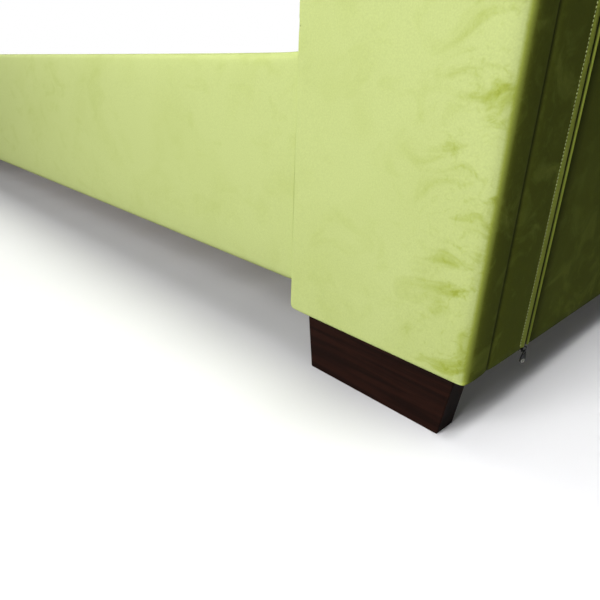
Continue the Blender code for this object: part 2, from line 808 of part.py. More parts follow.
def make_centre_beam():
    """The beam under the middle of the slats, the steel cradles at its ends and its two legs."""
    half = BEAM[0] / 2
    top = SLAT_BOTTOM - TOUCH
    bottom = top - BEAM[1]
    low_wall, high_wall = FOOT_BACK_Y + TOUCH, HEAD_FRONT_Y - TOUCH
    end_room = CRADLE_STEEL + BEAM_ROOM
    block(
        "centre_beam",
        (-half, low_wall + end_room, bottom),
        (half, high_wall - end_room, top),
        PINE,
        edge=WOOD_EDGE,
    )
    for label, wall, inwards in (("head", high_wall, -1), ("foot", low_wall, 1)):
        ys = sorted((wall, wall + inwards * CRADLE_DEPTH))
        cradle = block(
            f"beam_cradle_{label}",
            (-half - end_room, ys[0], bottom - end_room),
            (half + end_room, ys[1], top - CRADLE_BELOW_BEAM_TOP),
            BLACK_STEEL,
        )
        ys = sorted((wall + inwards * CRADLE_STEEL, wall + inwards * (CRADLE_DEPTH + CLEARANCE)))
        beam_room = cutter_block(
            f"beam_room_{label}",
            (-half - BEAM_ROOM, ys[0], bottom - BEAM_ROOM),
            (half + BEAM_ROOM, ys[1], SLAT_TOP),
        )
        cut(cradle, beam_room)
    centre_leg("centre_leg_head", WELL_MIDDLE_Y + CENTRE_LEG_SPREAD, bottom - TOUCH)
    centre_leg("centre_leg_foot", WELL_MIDDLE_Y - CENTRE_LEG_SPREAD, bottom - TOUCH)


def centre_leg(name, y, height):
    """A turned plastic leg with a flange that is screwed under the beam."""
    profile = (
        (0.0, height),
        (LEG_FLANGE, height),
        (LEG_FLANGE, height - 0.005),
        (LEG_NECK + 0.002, height - 0.012),
        (LEG_NECK, height - 0.030),
        (LEG_NECK, 0.020),
        (LEG_PAD, 0.006),
        (LEG_PAD - 0.002, 0.0),
        (0.0, 0.0),
    )
    bm = bmesh.new()
    line = [bm.verts.new((radius, 0, z)) for radius, z in profile]
    for pair in zip(line, line[1:]):
        bm.edges.new(pair)
    leg = object_from(name, bm, (0, y, 0), BLACK_PLASTIC)
    turned = leg.modifiers.new("Turned", "SCREW")
    turned.steps = turned.render_steps = 24
    turned.use_merge_vertices = True
    turned.merge_threshold = 0.0001
    return leg


def make_slats():
    first = FOOT_BACK_Y + END_SLAT_INSET
    pitch = (WELL_LENGTH - 2 * END_SLAT_INSET) / (SLAT_COUNT - 1)
    for number in range(SLAT_COUNT):
        y = first + number * pitch
        block(
            f"slat_{number + 1:02d}",
            (-SLAT_LENGTH / 2, y - SLAT_WIDTH / 2, SLAT_BOTTOM),
            (SLAT_LENGTH / 2, y + SLAT_WIDTH / 2, SLAT_TOP),
            PINE,
            edge=WOOD_EDGE,
        )


def build_bed():
    head_holes = [corner_bracket(f"head_{label}", side, 1) for label, side in SIDES]
    foot_holes = [corner_bracket(f"foot_{label}", side, -1) for label, side in SIDES]
    make_headboard_carcass(head_holes)
    make_headboard_padding(head_holes)
    make_headboard_cover(head_holes)
    make_footboard(foot_holes)
    for label, side in SIDES:
        make_zip(label, side)
        make_rail_cover(label, side)
        make_rail_inside(label, side)
        make_feet(label, side)
    make_centre_beam()
    make_slats()


build_bed()
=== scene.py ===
# %% [markdown]
# # An upholstered bed with a deep box headboard
#
# The bed is a timber and chipboard frame, padded with foam and covered in lime velvet.
# The headboard's cover zips off at the back, and plank feet in dark stained wood carry the bed.
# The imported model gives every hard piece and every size. This lesson adds what the eye
# judges a bed by: cloth that swells over foam, seams, stitches, pile, wood grain and light.

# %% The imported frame
import math

import bmesh
import bpy
from mathutils import Matrix, Vector, noise


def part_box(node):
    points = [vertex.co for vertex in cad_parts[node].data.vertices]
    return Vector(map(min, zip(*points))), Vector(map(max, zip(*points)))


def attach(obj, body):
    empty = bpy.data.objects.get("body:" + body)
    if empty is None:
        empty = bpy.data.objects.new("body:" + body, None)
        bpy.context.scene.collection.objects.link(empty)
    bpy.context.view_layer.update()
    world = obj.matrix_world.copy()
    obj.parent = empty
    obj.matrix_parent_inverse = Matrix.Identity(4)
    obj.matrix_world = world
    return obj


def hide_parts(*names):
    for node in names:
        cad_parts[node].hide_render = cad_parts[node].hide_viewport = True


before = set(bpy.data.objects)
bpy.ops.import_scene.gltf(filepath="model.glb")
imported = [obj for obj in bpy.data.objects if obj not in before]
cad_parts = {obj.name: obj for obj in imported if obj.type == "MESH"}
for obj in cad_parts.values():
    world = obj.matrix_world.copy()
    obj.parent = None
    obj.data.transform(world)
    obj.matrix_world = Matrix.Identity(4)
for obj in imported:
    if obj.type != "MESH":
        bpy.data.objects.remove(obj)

for leftover in ("Cube", "Light", "Camera"):
    if leftover in bpy.data.objects:
        bpy.data.objects.remove(bpy.data.objects[leftover])

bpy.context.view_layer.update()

# %% [markdown]
# ## Sizes
#
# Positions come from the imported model, node by node. The headboard cover's box gives the
# outside of the headboard, and the zip sliders' boxes give the middle of each zip.

# %% Sizes read from the model
MM = 0.001
HEAD_LOW, HEAD_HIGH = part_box("headboard_cover")
FOOT_LOW, FOOT_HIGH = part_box("footboard_cover")
PANEL_LOW, PANEL_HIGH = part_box("headboard_back_panel")
RAIL_LOW, RAIL_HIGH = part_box("side_rail_cover_right")
TAPE_LOW, TAPE_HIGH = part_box("zip_tape_outer_right")
SLIDER_LOW, SLIDER_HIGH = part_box("zip_slider_right")
PULL_LOW, PULL_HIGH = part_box("zip_pull_right")
SLAT_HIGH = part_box("slat_01")[1]

BACK_Y = HEAD_HIGH.y
HALF_WIDTH = HEAD_HIGH.x
ZIP_X = (SLIDER_LOW.x + SLIDER_HIGH.x) / 2
FLAP_X = PANEL_HIGH.x
WINDOW_X = ZIP_X + 13 * MM
WINDOW_TOP = PANEL_HIGH.z + 0.3 * MM
SIDES = (("left", -1), ("right", 1))
CLOTH = 2.2 * MM
print("each zip stands", round(ZIP_X / MM, 1), "mm from the bed's middle")

# %% [markdown]
# ## Camera
#
# The camera stands low behind the bed's right rear corner and looks down at it through a
# fairly wide lens, so that the side and the back of the headboard fall away steeply.

# %% Camera
CORNER = Vector((HALF_WIDTH, BACK_Y, 0))
EYE_FROM_CORNER = Vector((0.4385, 0.2043, 0.3539))
HEADING, DOWN, ROLL = (math.radians(a) for a in (225.35, 23.09, 2.17))
LENS = 31.5

forward = Vector((math.cos(HEADING) * math.cos(DOWN), math.sin(HEADING) * math.cos(DOWN), -math.sin(DOWN)))
level = Vector((math.sin(HEADING), -math.cos(HEADING), 0))
upward = level.cross(forward)
across = math.cos(ROLL) * level + math.sin(ROLL) * upward
upright = across.cross(forward)
turn = Matrix((across, upright, -forward)).transposed()

camera = bpy.data.objects.new("camera", bpy.data.cameras.new("camera"))
bpy.context.scene.collection.objects.link(camera)
camera.data.lens = LENS
camera.data.sensor_width = 36
camera.data.clip_start = 0.01
camera.matrix_world = Matrix.Translation(CORNER + EYE_FROM_CORNER) @ turn.to_4x4()
bpy.context.scene.camera = camera
print("camera at", [round(c, 3) for c in camera.location])

# %% [markdown]
# ## Helpers for materials
#
# Colours are written as sRGB hex values and turned to linear light once. One small function
# adds a node, sets it up and links it, so that each finish below reads as a list of steps.

# %% Colour and node helpers
def linear(hex_colour):
    """Red, green, blue and alpha in linear light, from a colour such as #A1B2C3."""
    parts = [int(hex_colour[i:i + 2], 16) / 255 for i in (1, 3, 5)]
    return (*((p / 12.92 if p <= 0.04045 else ((p + 0.055) / 1.055) ** 2.4) for p in parts), 1.0)


def add_node(tree, kind, inputs=None, **settings):
    """Adds a node. inputs takes a socket's name or number to a value, or to a socket or node to link."""
    made = tree.nodes.new(kind)
    for name, value in settings.items():
        setattr(made, name, value)
    for name, value in (inputs or {}).items():
        if isinstance(value, bpy.types.Node):
            value = value.outputs[0]
        if isinstance(value, bpy.types.NodeSocket):
            tree.links.new(value, made.inputs[name])
        else:
            made.inputs[name].default_value = value
    return made


def finish_named(name, **constants):
    """A new material with constants set on its shader's sockets, its tree, and its Object coordinates."""
    made = bpy.data.materials.new(name)
    made.use_nodes = True
    shader = made.node_tree.nodes["Principled BSDF"]
    for socket, value in constants.items():
        shader.inputs[socket.replace("_", " ")].default_value = value
    where = add_node(made.node_tree, "ShaderNodeTexCoord").outputs["Object"]
    return made, made.node_tree, where


def dressed(finish, colour, relief):
    """The finish, with a Mix node's colour and a Bump node's relief linked to its shader."""
    tree = finish.node_tree
    shader = tree.nodes["Principled BSDF"]
    tree.links.new(colour.outputs[2], shader.inputs["Base Color"])
    tree.links.new(relief.outputs[0], shader.inputs["Normal"])
    return finish


def per_metre(size_mm):
    """The scale that makes one period of a texture this many millimetres long."""
    return 1000.0 / size_mm

# %% [markdown]
# ## Lime velvet
#
# Velvet is a woven ground with a short upright pile. Where the pile leans towards you it looks
# deep and saturated, and where it leans away it looks pale, so the cloth is never one flat
# colour. Each piece of the cover carries three numbers at every point. The first, nap, runs from
# 0, pale, to 1, deep. It is partly how the pile lies and partly painted light: pale where the
# sides are lit, and deep as painted shade on the headboard's back. The second, handled, says how
# much hands have brushed it. The third, seam, is painted shade in a seam's valley and on the
# cloth in a zip's shade. The finish turns the first two into colour, with soft smudges of about
# 45 mm where the cloth has been handled, slow clouds, and a fine grain. The shader's sheen
# stands for the light that the sides of the fibres throw back.

# %% Velvet
# Pale to deep pile. The pale end also stands for painted light on the lit sides, the deep end for painted
# shade on the back.
NAP_AND_PAINTED_LIGHT_COLOURS = ((0.0, "#B6C17D"), (0.40, "#98A446"), (1.0, "#5D6521"))
CLOUD_MM = 160
SMUDGE_MM = (45, 60, 38)
WISP_MM = 14
GRAIN_MM = 1.6
# The colour of painted shade, in seams and in a zip's shade.
PAINTED_SHADE_COLOUR = "#14170A"


def velvet_finish():
    made, tree, where = finish_named(
        "lime_velvet",
        Roughness=0.9,
        Specular_IOR_Level=0.05,
        Sheen_Weight=0.06,
        Sheen_Roughness=0.4,
        Sheen_Tint=linear("#D2DE86"),
    )
    # How the pile lies, and painted light: pale on the lit sides, deep where the back is in shade.
    nap_and_painted_light = add_node(tree, "ShaderNodeAttribute", attribute_name="nap_and_painted_light").outputs["Fac"]
    handled = add_node(tree, "ShaderNodeAttribute", attribute_name="handled").outputs["Fac"]
    clouds = add_node(
        tree,
        "ShaderNodeTexNoise",
        {"Vector": where, "Scale": per_metre(CLOUD_MM), "Detail": 3.0, "Distortion": 0.8},
    )
    stretched = add_node(
        tree, "ShaderNodeMapping", {"Vector": where, "Scale": [per_metre(s) for s in SMUDGE_MM]}
    )
    smudges = add_node(
        tree,
        "ShaderNodeTexNoise",
        {"Vector": stretched, "Scale": 1.0, "Detail": 3.5, "Roughness": 0.6, "Distortion": 0.9},
    )
    wisps = add_node(
        tree,
        "ShaderNodeTexNoise",
        {"Vector": where, "Scale": per_metre(WISP_MM), "Detail": 2.0, "Distortion": 2.0},
    )
    soft_smudges = add_node(
        tree,
        "ShaderNodeMapRange",
        {"Value": smudges, "From Min": 0.47, "From Max": 0.72, "To Max": 0.42},
        interpolation_type="SMOOTHSTEP",
    )
    soft_wisps = add_node(
        tree,
        "ShaderNodeMapRange",
        {"Value": wisps, "From Min": 0.52, "From Max": 0.74, "To Max": 0.12},
        interpolation_type="SMOOTHSTEP",
    )
    marks = add_node(tree, "ShaderNodeMath", {0: soft_smudges, 1: soft_wisps}, operation="ADD")
    brushed = add_node(tree, "ShaderNodeMath", {0: marks, 1: handled}, operation="MULTIPLY")
    # Brushing deepens pale pile, and lightens deep pile half as much.
    turned = add_node(tree, "ShaderNodeMapRange", {"Value": nap_and_painted_light, "To Min": 1.0, "To Max": -0.5})
    cloudy = add_node(
        tree,
        "ShaderNodeMapRange",
        {"Value": clouds, "From Min": 0.3, "From Max": 0.7, "To Min": -0.03, "To Max": 0.05},
    )
    marked = add_node(tree, "ShaderNodeMath", {0: brushed, 1: turned, 2: nap_and_painted_light}, operation="MULTIPLY_ADD")
    leaning = add_node(tree, "ShaderNodeMath", {0: marked, 1: cloudy}, operation="ADD", use_clamp=True)
    pile = add_node(tree, "ShaderNodeValToRGB", {0: leaning})
    for _ in NAP_AND_PAINTED_LIGHT_COLOURS[2:]:
        pile.color_ramp.elements.new(0.5)
    for stop, (place, colour) in zip(pile.color_ramp.elements, NAP_AND_PAINTED_LIGHT_COLOURS):
        stop.position = place
        stop.color = linear(colour)
    grain = add_node(
        tree, "ShaderNodeTexNoise", {"Vector": where, "Scale": per_metre(GRAIN_MM), "Detail": 2.0}
    )
    speckle = add_node(
        tree,
        "ShaderNodeMapRange",
        {"Value": grain, "From Min": 0.3, "From Max": 0.7, "To Min": 0.95, "To Max": 1.05},
    )
    colour = add_node(
        tree, "ShaderNodeMix", {0: 1.0, 6: pile, 7: speckle}, data_type="RGBA", blend_type="MULTIPLY"
    )
    # Painted shade: the colour darkens in a seam's valley, where pile from both sides closes over it, and
    # in a zip's shade.
    seam = add_node(tree, "ShaderNodeAttribute", attribute_name="seam").outputs["Fac"]
    painted_shade_mix = add_node(
        tree, "ShaderNodeMix", {0: seam, 6: colour.outputs[2], 7: linear(PAINTED_SHADE_COLOUR)}, data_type="RGBA"
    )
    laid_over = add_node(
        tree, "ShaderNodeBump", {"Height": brushed, "Strength": 0.35, "Distance": 0.5 * MM}
    )
    pile_bump = add_node(
        tree,
        "ShaderNodeBump",
        {"Height": grain, "Strength": 0.3, "Distance": 0.2 * MM, "Normal": laid_over},
    )
    return dressed(made, painted_shade_mix, pile_bump)


VELVET = velvet_finish()
print("velvet:", len(VELVET.node_tree.nodes), "nodes,", len(NAP_AND_PAINTED_LIGHT_COLOURS), "colours of pile")

# %% [markdown]
# ## Woods and boards
#
# The feet are a dark open-grained wood under a satin lacquer. The slats, ledgers and beam are
# planed pine with its growth rings, and the hidden boards are chipboard, pressed from flakes.
# A stretched noise makes grain: long along the board, and as fine across it as real rings are.

# %% Wood
def wood_finish(name, light, dark, ring_mm, pore_mm, along, roughness, gloss):
    """Wood whose grain runs along an axis, 0 for X, 1 for Y and 2 for Z."""
    made, tree, where = finish_named(
        name, Roughness=roughness, Specular_IOR_Level=0.08, Coat_Weight=gloss, Coat_Roughness=0.3
    )
    ring_scale = [per_metre(ring_mm)] * 3
    ring_scale[along] = per_metre(ring_mm * 25)
    pore_scale = [per_metre(pore_mm)] * 3
    pore_scale[along] = per_metre(pore_mm * 30)
    rings_at = add_node(tree, "ShaderNodeMapping", {"Vector": where, "Scale": ring_scale})
    pores_at = add_node(tree, "ShaderNodeMapping", {"Vector": where, "Scale": pore_scale})
    rings = add_node(
        tree, "ShaderNodeTexNoise", {"Vector": rings_at, "Scale": 1.0, "Detail": 4.0, "Distortion": 0.6}
    )
    pores = add_node(tree, "ShaderNodeTexNoise", {"Vector": pores_at, "Scale": 1.0, "Detail": 2.0})
    banded = add_node(
        tree,
        "ShaderNodeMapRange",
        {"Value": rings, "From Min": 0.38, "From Max": 0.62},
        interpolation_type="SMOOTHSTEP",
    )
    dotted = add_node(
        tree,
        "ShaderNodeMapRange",
        {"Value": pores, "From Min": 0.54, "From Max": 0.66, "To Min": 0.0, "To Max": 0.6},
    )
    body = add_node(
        tree, "ShaderNodeMix", {0: banded, 6: linear(light), 7: linear(dark)}, data_type="RGBA"
    )
    colour = add_node(
        tree, "ShaderNodeMix", {0: dotted, 6: body.outputs[2], 7: linear(dark)}, data_type="RGBA"
    )
    bump = add_node(
        tree, "ShaderNodeBump", {"Height": pores, "Strength": 0.35, "Distance": 0.15 * MM}, invert=True
    )
    return dressed(made, colour, bump)


def flake_finish(name, pale, deep, flake_mm, roughness):
    """Board pressed from flakes or fibres: cells of slightly different colour, rough to the touch."""
    made, tree, where = finish_named(name, Roughness=roughness)
    flakes = add_node(tree, "ShaderNodeTexVoronoi", {"Vector": where, "Scale": per_metre(flake_mm)})
    dust = add_node(
        tree, "ShaderNodeTexNoise", {"Vector": where, "Scale": per_metre(flake_mm / 3), "Detail": 3.0}
    )
    tone = add_node(tree, "ShaderNodeSeparateColor", {0: flakes.outputs["Color"]})
    mixed = add_node(tree, "ShaderNodeMath", {0: tone, 1: dust}, operation="MULTIPLY")
    colour = add_node(
        tree, "ShaderNodeMix", {0: mixed, 6: linear(pale), 7: linear(deep)}, data_type="RGBA"
    )
    bump = add_node(tree, "ShaderNodeBump", {"Height": dust, "Strength": 0.4, "Distance": 0.2 * MM})
    return dressed(made, colour, bump)


STAINED = ("#241009", "#160804", 8, 1.0)
PINE = ("#E3C493", "#C99B60", 9, 1.0)
STAINED_ALONG_Y = wood_finish("dark_stained_wood_lengthways", *STAINED, 1, 0.6, 0.02)
STAINED_ALONG_X = wood_finish("dark_stained_wood_crossways", *STAINED, 0, 0.6, 0.02)
PINE_ALONG_X = wood_finish("planed_pine_crossways", *PINE, 0, 0.60, 0.0)
PINE_ALONG_Y = wood_finish("planed_pine_lengthways", *PINE, 1, 0.60, 0.0)
CHIPBOARD = flake_finish("raw_chipboard", "#C9A878", "#8A6840", 5, 0.85)
HARDBOARD = flake_finish("raw_hardboard", "#7B5534", "#5A3A22", 1.5, 0.75)
print("growth rings in the pine, mm:", PINE[2])

# %% [markdown]
# ## Metals, plastic and small cloths
#
# Powder coat is paint that has flowed together in an oven, which leaves a faint orange peel.
# The bolts and screws are zinc plated, the zip's slider is enamelled black, and its tape is
# woven polyester in the cover's colour. The fleece under the headboard is pressed black fibre.

# %% Metals and plastic
def grainy_finish(name, colour, grain_mm, bump, spread, **constants):
    """An even finish with a fine relief, such as powder coat. spread is how far its tone varies."""
    made, tree, where = finish_named(name, **constants)
    grain = add_node(
        tree, "ShaderNodeTexNoise", {"Vector": where, "Scale": per_metre(grain_mm), "Detail": 2.0}
    )
    tone = add_node(
        tree,
        "ShaderNodeMapRange",
        {"Value": grain, "From Min": 0.3, "From Max": 0.7, "To Min": 1 - spread, "To Max": 1 + spread},
    )
    varied = add_node(
        tree,
        "ShaderNodeMix",
        {0: 1.0, 6: linear(colour), 7: tone},
        data_type="RGBA",
        blend_type="MULTIPLY",
    )
    relief = add_node(tree, "ShaderNodeBump", {"Height": grain, "Strength": 0.3, "Distance": bump * MM})
    return dressed(made, varied, relief)


POWDER_COAT = grainy_finish("black_powder_coat", "#17181A", 1.2, 0.10, 0.10, Roughness=0.48)
ENAMEL = grainy_finish("black_zip_enamel", "#0D0D0E", 0.8, 0.03, 0.05, Roughness=0.28, Coat_Weight=0.4)
WORN_NICKEL = grainy_finish("worn_nickel", "#C4C3BC", 0.6, 0.03, 0.12, Roughness=0.45, Metallic=0.6)
ZINC = grainy_finish("zinc_plating", "#B9B8AE", 2.5, 0.04, 0.12, Roughness=0.32, Metallic=1.0)
BLACK_PLASTIC = grainy_finish("moulded_polypropylene", "#161616", 0.9, 0.08, 0.08, Roughness=0.55)
FLEECE = grainy_finish("black_fleece", "#121212", 1.8, 0.5, 0.35, Roughness=0.95, Sheen_Weight=0.2)
FOAM = grainy_finish("cut_foam", "#E9DFB4", 1.6, 0.8, 0.10, Roughness=0.95)
THREAD = grainy_finish("twisted_thread", "#D3DE8C", 0.5, 0.1, 0.15, Roughness=0.6, Sheen_Weight=0.3)
NYLON = grainy_finish("nylon_coil", "#8E9A3A", 0.7, 0.05, 0.10, Roughness=0.40)
print("finishes so far:", len(bpy.data.materials))

# %% [markdown]
# Zip tape is a narrow herringbone cloth. Two wave textures at right angles stand for its warp
# and weft, each 0.9 mm wide, which is a little coarser than the real threads so that they show.
# Deep in the zip's track the tape is darkened with painted shade, by the same number as on the velvet.

# %% Zip tape
THREAD_MM = 0.9
# A wave texture has 20 bands in each turn of a full circle.
WAVE_BANDS = 20


def tape_finish():
    made, tree, where = finish_named("woven_zip_tape", Roughness=0.75, Specular_IOR_Level=0.2)
    thread = per_metre(THREAD_MM) * math.tau / WAVE_BANDS
    warp = add_node(tree, "ShaderNodeTexWave", {"Vector": where, "Scale": thread}, bands_direction="X")
    weft = add_node(tree, "ShaderNodeTexWave", {"Vector": where, "Scale": thread}, bands_direction="Z")
    weave = add_node(
        tree, "ShaderNodeMath", {0: warp.outputs["Fac"], 1: weft.outputs["Fac"]}, operation="MULTIPLY"
    )
    colour = add_node(
        tree, "ShaderNodeMix", {0: weave, 6: linear("#A0AE3C"), 7: linear("#CDDA66")}, data_type="RGBA"
    )
    # Painted shade darkens the tape deep in the track.
    shade = add_node(tree, "ShaderNodeAttribute", attribute_name="seam").outputs["Fac"]
    shaded = add_node(
        tree, "ShaderNodeMix", {0: shade, 6: colour.outputs[2], 7: linear(PAINTED_SHADE_COLOUR)}, data_type="RGBA"
    )
    relief = add_node(tree, "ShaderNodeBump", {"Height": weave, "Strength": 0.5, "Distance": 0.2 * MM})
    return dressed(made, shaded, relief)


TAPE = tape_finish()
print("tape threads in a centimetre:", round(10 / THREAD_MM))

# %% [markdown]
# ## Finishes on the hard pieces
#
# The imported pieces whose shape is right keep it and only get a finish. Grain follows the length
# of each board, so the feet under the headboard and those under the footboard differ.

# %% Assign finishes
def finish_of(node):
    """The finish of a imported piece, from its name."""
    by_ending = (
        ("_bracket", POWDER_COAT),
        ("_bolt", ZINC),
        ("back_board", HARDBOARD),
        ("bolt_rail", PINE_ALONG_X),
        ("dust_cloth", FLEECE),
    )
    by_start = (
        ("head_foot_", STAINED_ALONG_Y),
        ("foot_end_foot_", STAINED_ALONG_X),
        ("slat_ledger", PINE_ALONG_Y),
        ("slat_", PINE_ALONG_X),
        ("centre_beam", PINE_ALONG_Y),
        ("beam_cradle", POWDER_COAT),
        ("centre_leg", BLACK_PLASTIC),
        ("zip_tape", TAPE),
        ("zip_", ENAMEL),
    )
    for ending, finish in by_ending:
        if node.endswith(ending):
            return finish
    for start, finish in by_start:
        if node.startswith(start):
            return finish
    return CHIPBOARD if "board" in node else FOAM


for node_name, node_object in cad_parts.items():
    node_object.data.materials.clear()
    node_object.data.materials.append(finish_of(node_name))
print("finishes set on", len(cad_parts), "packed pieces")

# %% [markdown]
# ## From a bmesh to a piece of the bed
#
# Every piece stays at the world's origin with its place in its mesh, so that patterns made from
# Object coordinates don't slide. It rides on a body of the imported model.

# %% Piece helper
def piece_from(bm, name, finish, body="bed", smooth_angle=None):
    mesh = bpy.data.meshes.new(name)
    bm.to_mesh(mesh)
    bm.free()
    mesh.materials.append(finish)
    mesh.shade_smooth()
    if smooth_angle is not None:
        mesh.set_sharp_from_angle(angle=math.radians(smooth_angle))
    made = bpy.data.objects.new(name, mesh)
    bpy.context.scene.collection.objects.link(made)
    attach(made, body)
    return made


def mirrored(bm):
    """A copy of a bmesh for the bed's other side, mirrored across its middle."""
    other = bm.copy()
    bmesh.ops.scale(other, vec=(-1, 1, 1), verts=other.verts)
    bmesh.ops.reverse_faces(other, faces=other.faces)
    return other

# %% [markdown]
# ## A box with a cloth skin
#
# A cover starts as a cube. Each of its twelve edges has its own radius: the foam is fuller at
# the headboard's front than at its hem. The Bevel modifier can do that from one weight per edge.
# Then straight cuts divide the skin into patches of about 25 mm, which is what the cloth
# simulation and the seams need, with narrow rows beside each seam.

# %% Rounded box
CORNER_STEPS = 5


def rounded_box(low, high, radius_of):
    """A box as a bmesh. radius_of gives an edge's radius from its middle, from -1 to 1 each way."""
    bm = bmesh.new()
    bmesh.ops.create_cube(bm, size=2.0)
    weight = bm.edges.layers.float.new("bevel_weight_edge")
    radii = {edge: radius_of((edge.verts[0].co + edge.verts[1].co) / 2) for edge in bm.edges}
    widest = max(radii.values())
    for edge, radius in radii.items():
        edge[weight] = radius / widest
    place = Matrix.Translation((low + high) / 2) @ Matrix.Diagonal((*((high - low) / 2), 1))
    bmesh.ops.transform(bm, matrix=place, verts=bm.verts)
    mesh = bpy.data.meshes.new("rounding")
    bm.to_mesh(mesh)
    bm.free()
    rounding = bpy.data.objects.new("rounding", mesh)
    bpy.context.scene.collection.objects.link(rounding)
    bevel = rounding.modifiers.new("Edges", "BEVEL")
    bevel.limit_method = "WEIGHT"
    bevel.width = widest
    bevel.segments = CORNER_STEPS
    bevel.profile = 0.5
    bpy.context.view_layer.update()
    shown = rounding.evaluated_get(bpy.context.evaluated_depsgraph_get())
    bm = bmesh.new()
    bm.from_mesh(shown.to_mesh())
    bpy.data.objects.remove(rounding)
    return bm


PATCH = 25 * MM
SEAM_ROWS = (-10.0, -4.5, -1.5, 0.0, 1.5, 4.5, 10.0)


def rows(low, high, seams=(), edges=()):
    """Places to cut between two ends: one for every patch, and a narrow group at each seam."""
    count = max(1, round((high - low) / PATCH))
    even = [low + (high - low) * i / count for i in range(1, count)]
    close = [seam + offset * MM for seam in seams for offset in SEAM_ROWS] + list(edges)
    free = [p for p in even if all(abs(p - c) > 4 * MM for c in close)]
    return sorted(free + close)


def cut_rows(bm, axis, places):
    """Cuts the whole mesh with a plane at each place along an axis."""
    normal = Vector((0, 0, 0))
    normal[axis] = 1.0
    for place in places:
        everything = [*bm.verts, *bm.edges, *bm.faces]
        bmesh.ops.bisect_plane(bm, geom=everything, dist=1e-6, plane_co=normal * place, plane_no=normal)


def delete_faces(bm, unwanted):
    faces = [face for face in bm.faces if unwanted(face.calc_center_median())]
    bmesh.ops.delete(bm, geom=faces, context="FACES")

# %% [markdown]
# ## Cloth that swells over foam
#
# Upholstery is cloth pulled tight over foam and sewn or stapled along its edges. The simulation
# holds those edges and lets a light pressure from inside push the rest out, which gives each
# panel its crown and the small pulls near its seams. A cap keeps any point from moving further
# than foam would let it.

# %% Cloth simulation
FRAMES = 20


def swell(piece, held, cap, pressure=4.0):
    """Blows the cloth out from its held points by at most cap, and keeps the shape."""
    group = piece.vertex_groups.new(name="held")
    group.add([v.index for v in piece.data.vertices if held(v.co)], 1.0, "REPLACE")
    cloth = piece.modifiers.new("Cloth", "CLOTH")
    cloth.settings.vertex_group_mass = "held"
    cloth.settings.use_pressure = True
    cloth.settings.uniform_pressure_force = pressure
    cloth.settings.effector_weights.gravity = 0.0
    cloth.settings.tension_stiffness = 12.0
    cloth.settings.compression_stiffness = 12.0
    cloth.settings.bending_stiffness = 0.8
    cloth.collision_settings.use_collision = False
    cloth.point_cache.frame_start, cloth.point_cache.frame_end = 1, FRAMES
    for number in range(1, FRAMES + 1):
        bpy.context.scene.frame_set(number)
    swollen = piece.evaluated_get(bpy.context.evaluated_depsgraph_get())
    moves = [s.co - v.co for s, v in zip(swollen.data.vertices, piece.data.vertices)]
    piece.modifiers.remove(cloth)
    piece.vertex_groups.remove(group)
    bpy.context.scene.frame_set(1)
    furthest = max(move.length for move in moves)
    for vertex, move in zip(piece.data.vertices, moves):
        length = move.length
        if length > 1e-7:
            vertex.co += move * (cap * math.tanh(length / cap) / length)
    print(piece.name, "swelled by", round(furthest / MM, 1), "mm before the cap")

# %% [markdown]
# The next helpers shape what the simulation doesn't: soft valleys at seams, slow unevenness, the
# three numbers of the velvet, and the smoothing and thickness that every cover ends with.

# %% Shaping helpers
def ease(distance, width):
    """1 on a line and 0 beyond a width from it, with a soft shoulder."""
    share = min(1.0, abs(distance) / width)
    return 0.5 + 0.5 * math.cos(math.pi * share)


def between(low, high, value):
    """0 below low, 1 above high, and a soft curve between them."""
    share = min(1.0, max(0.0, (value - low) / (high - low)))
    return share * share * (3 - 2 * share)


def waver(point, size, height):
    """A slow unevenness, as cloth over foam has."""
    return height * noise.noise(point / size)


# No painted shade.
def no_painted_shade(point):
    return 0.0


def store(piece, name, number_at):
    """Stores a number at every point of a piece, for its finish to read."""
    stored = piece.data.attributes.new(name, "FLOAT", "POINT")
    stored.data.foreach_set("value", [number_at(vertex.co) for vertex in piece.data.vertices])


def nap_and_painted_light_at(point):
    """The pile lies deep on the headboard's back, and turns pale round its rear corner. This is partly
    how the pile lies and partly painted light: paler where the side is lit, painted shade on the back.
    """
    return between(BACK_Y - 6.5 * MM, BACK_Y - 0.2 * MM, point.y)


def brushed_near(distance, reach, most):
    """How much hands have brushed the cloth: most on a line, and little beyond a reach from it."""
    return most * math.exp(-((distance / reach) ** 2))


def lay_pile(piece, handled_at, painted_shade_at=no_painted_shade):
    store(piece, "nap_and_painted_light", nap_and_painted_light_at)
    store(piece, "handled", handled_at)
    # seam holds painted shade: a seam's valley and cloth in a zip's shade are darkened.
    store(piece, "seam", painted_shade_at)


def thicken(piece, thickness):
    """Gives a single layer its thickness, inwards."""
    thick = piece.modifiers.new("Thickness", "SOLIDIFY")
    thick.thickness = thickness
    thick.offset = -1.0


def finish_cloth(piece):
    """Smooths a cover and gives it the thickness of cloth."""
    soft = piece.modifiers.new("Soft", "SUBSURF")
    soft.levels = soft.render_levels = 1
    thicken(piece, CLOTH)


def drawn_out(points, step):
    """A strip: a section, given as points, drawn out by one step."""
    bm = bmesh.new()
    line = [bm.verts.new(point) for point in points]
    edges = [bm.edges.new(pair) for pair in zip(line, line[1:])]
    swept = bmesh.ops.extrude_edge_only(bm, edges=edges)["geom"]
    far_end = [g for g in swept if isinstance(g, bmesh.types.BMVert)]
    bmesh.ops.translate(bm, vec=step, verts=far_end)
    return bm


def face_along(bm, axis, chosen):
    """Makes the faces agree, and turns them so that the chosen one looks along an axis."""
    bmesh.ops.recalc_face_normals(bm, faces=bm.faces)
    if max(bm.faces, key=chosen).normal[axis] < 0:
        bmesh.ops.reverse_faces(bm, faces=bm.faces)

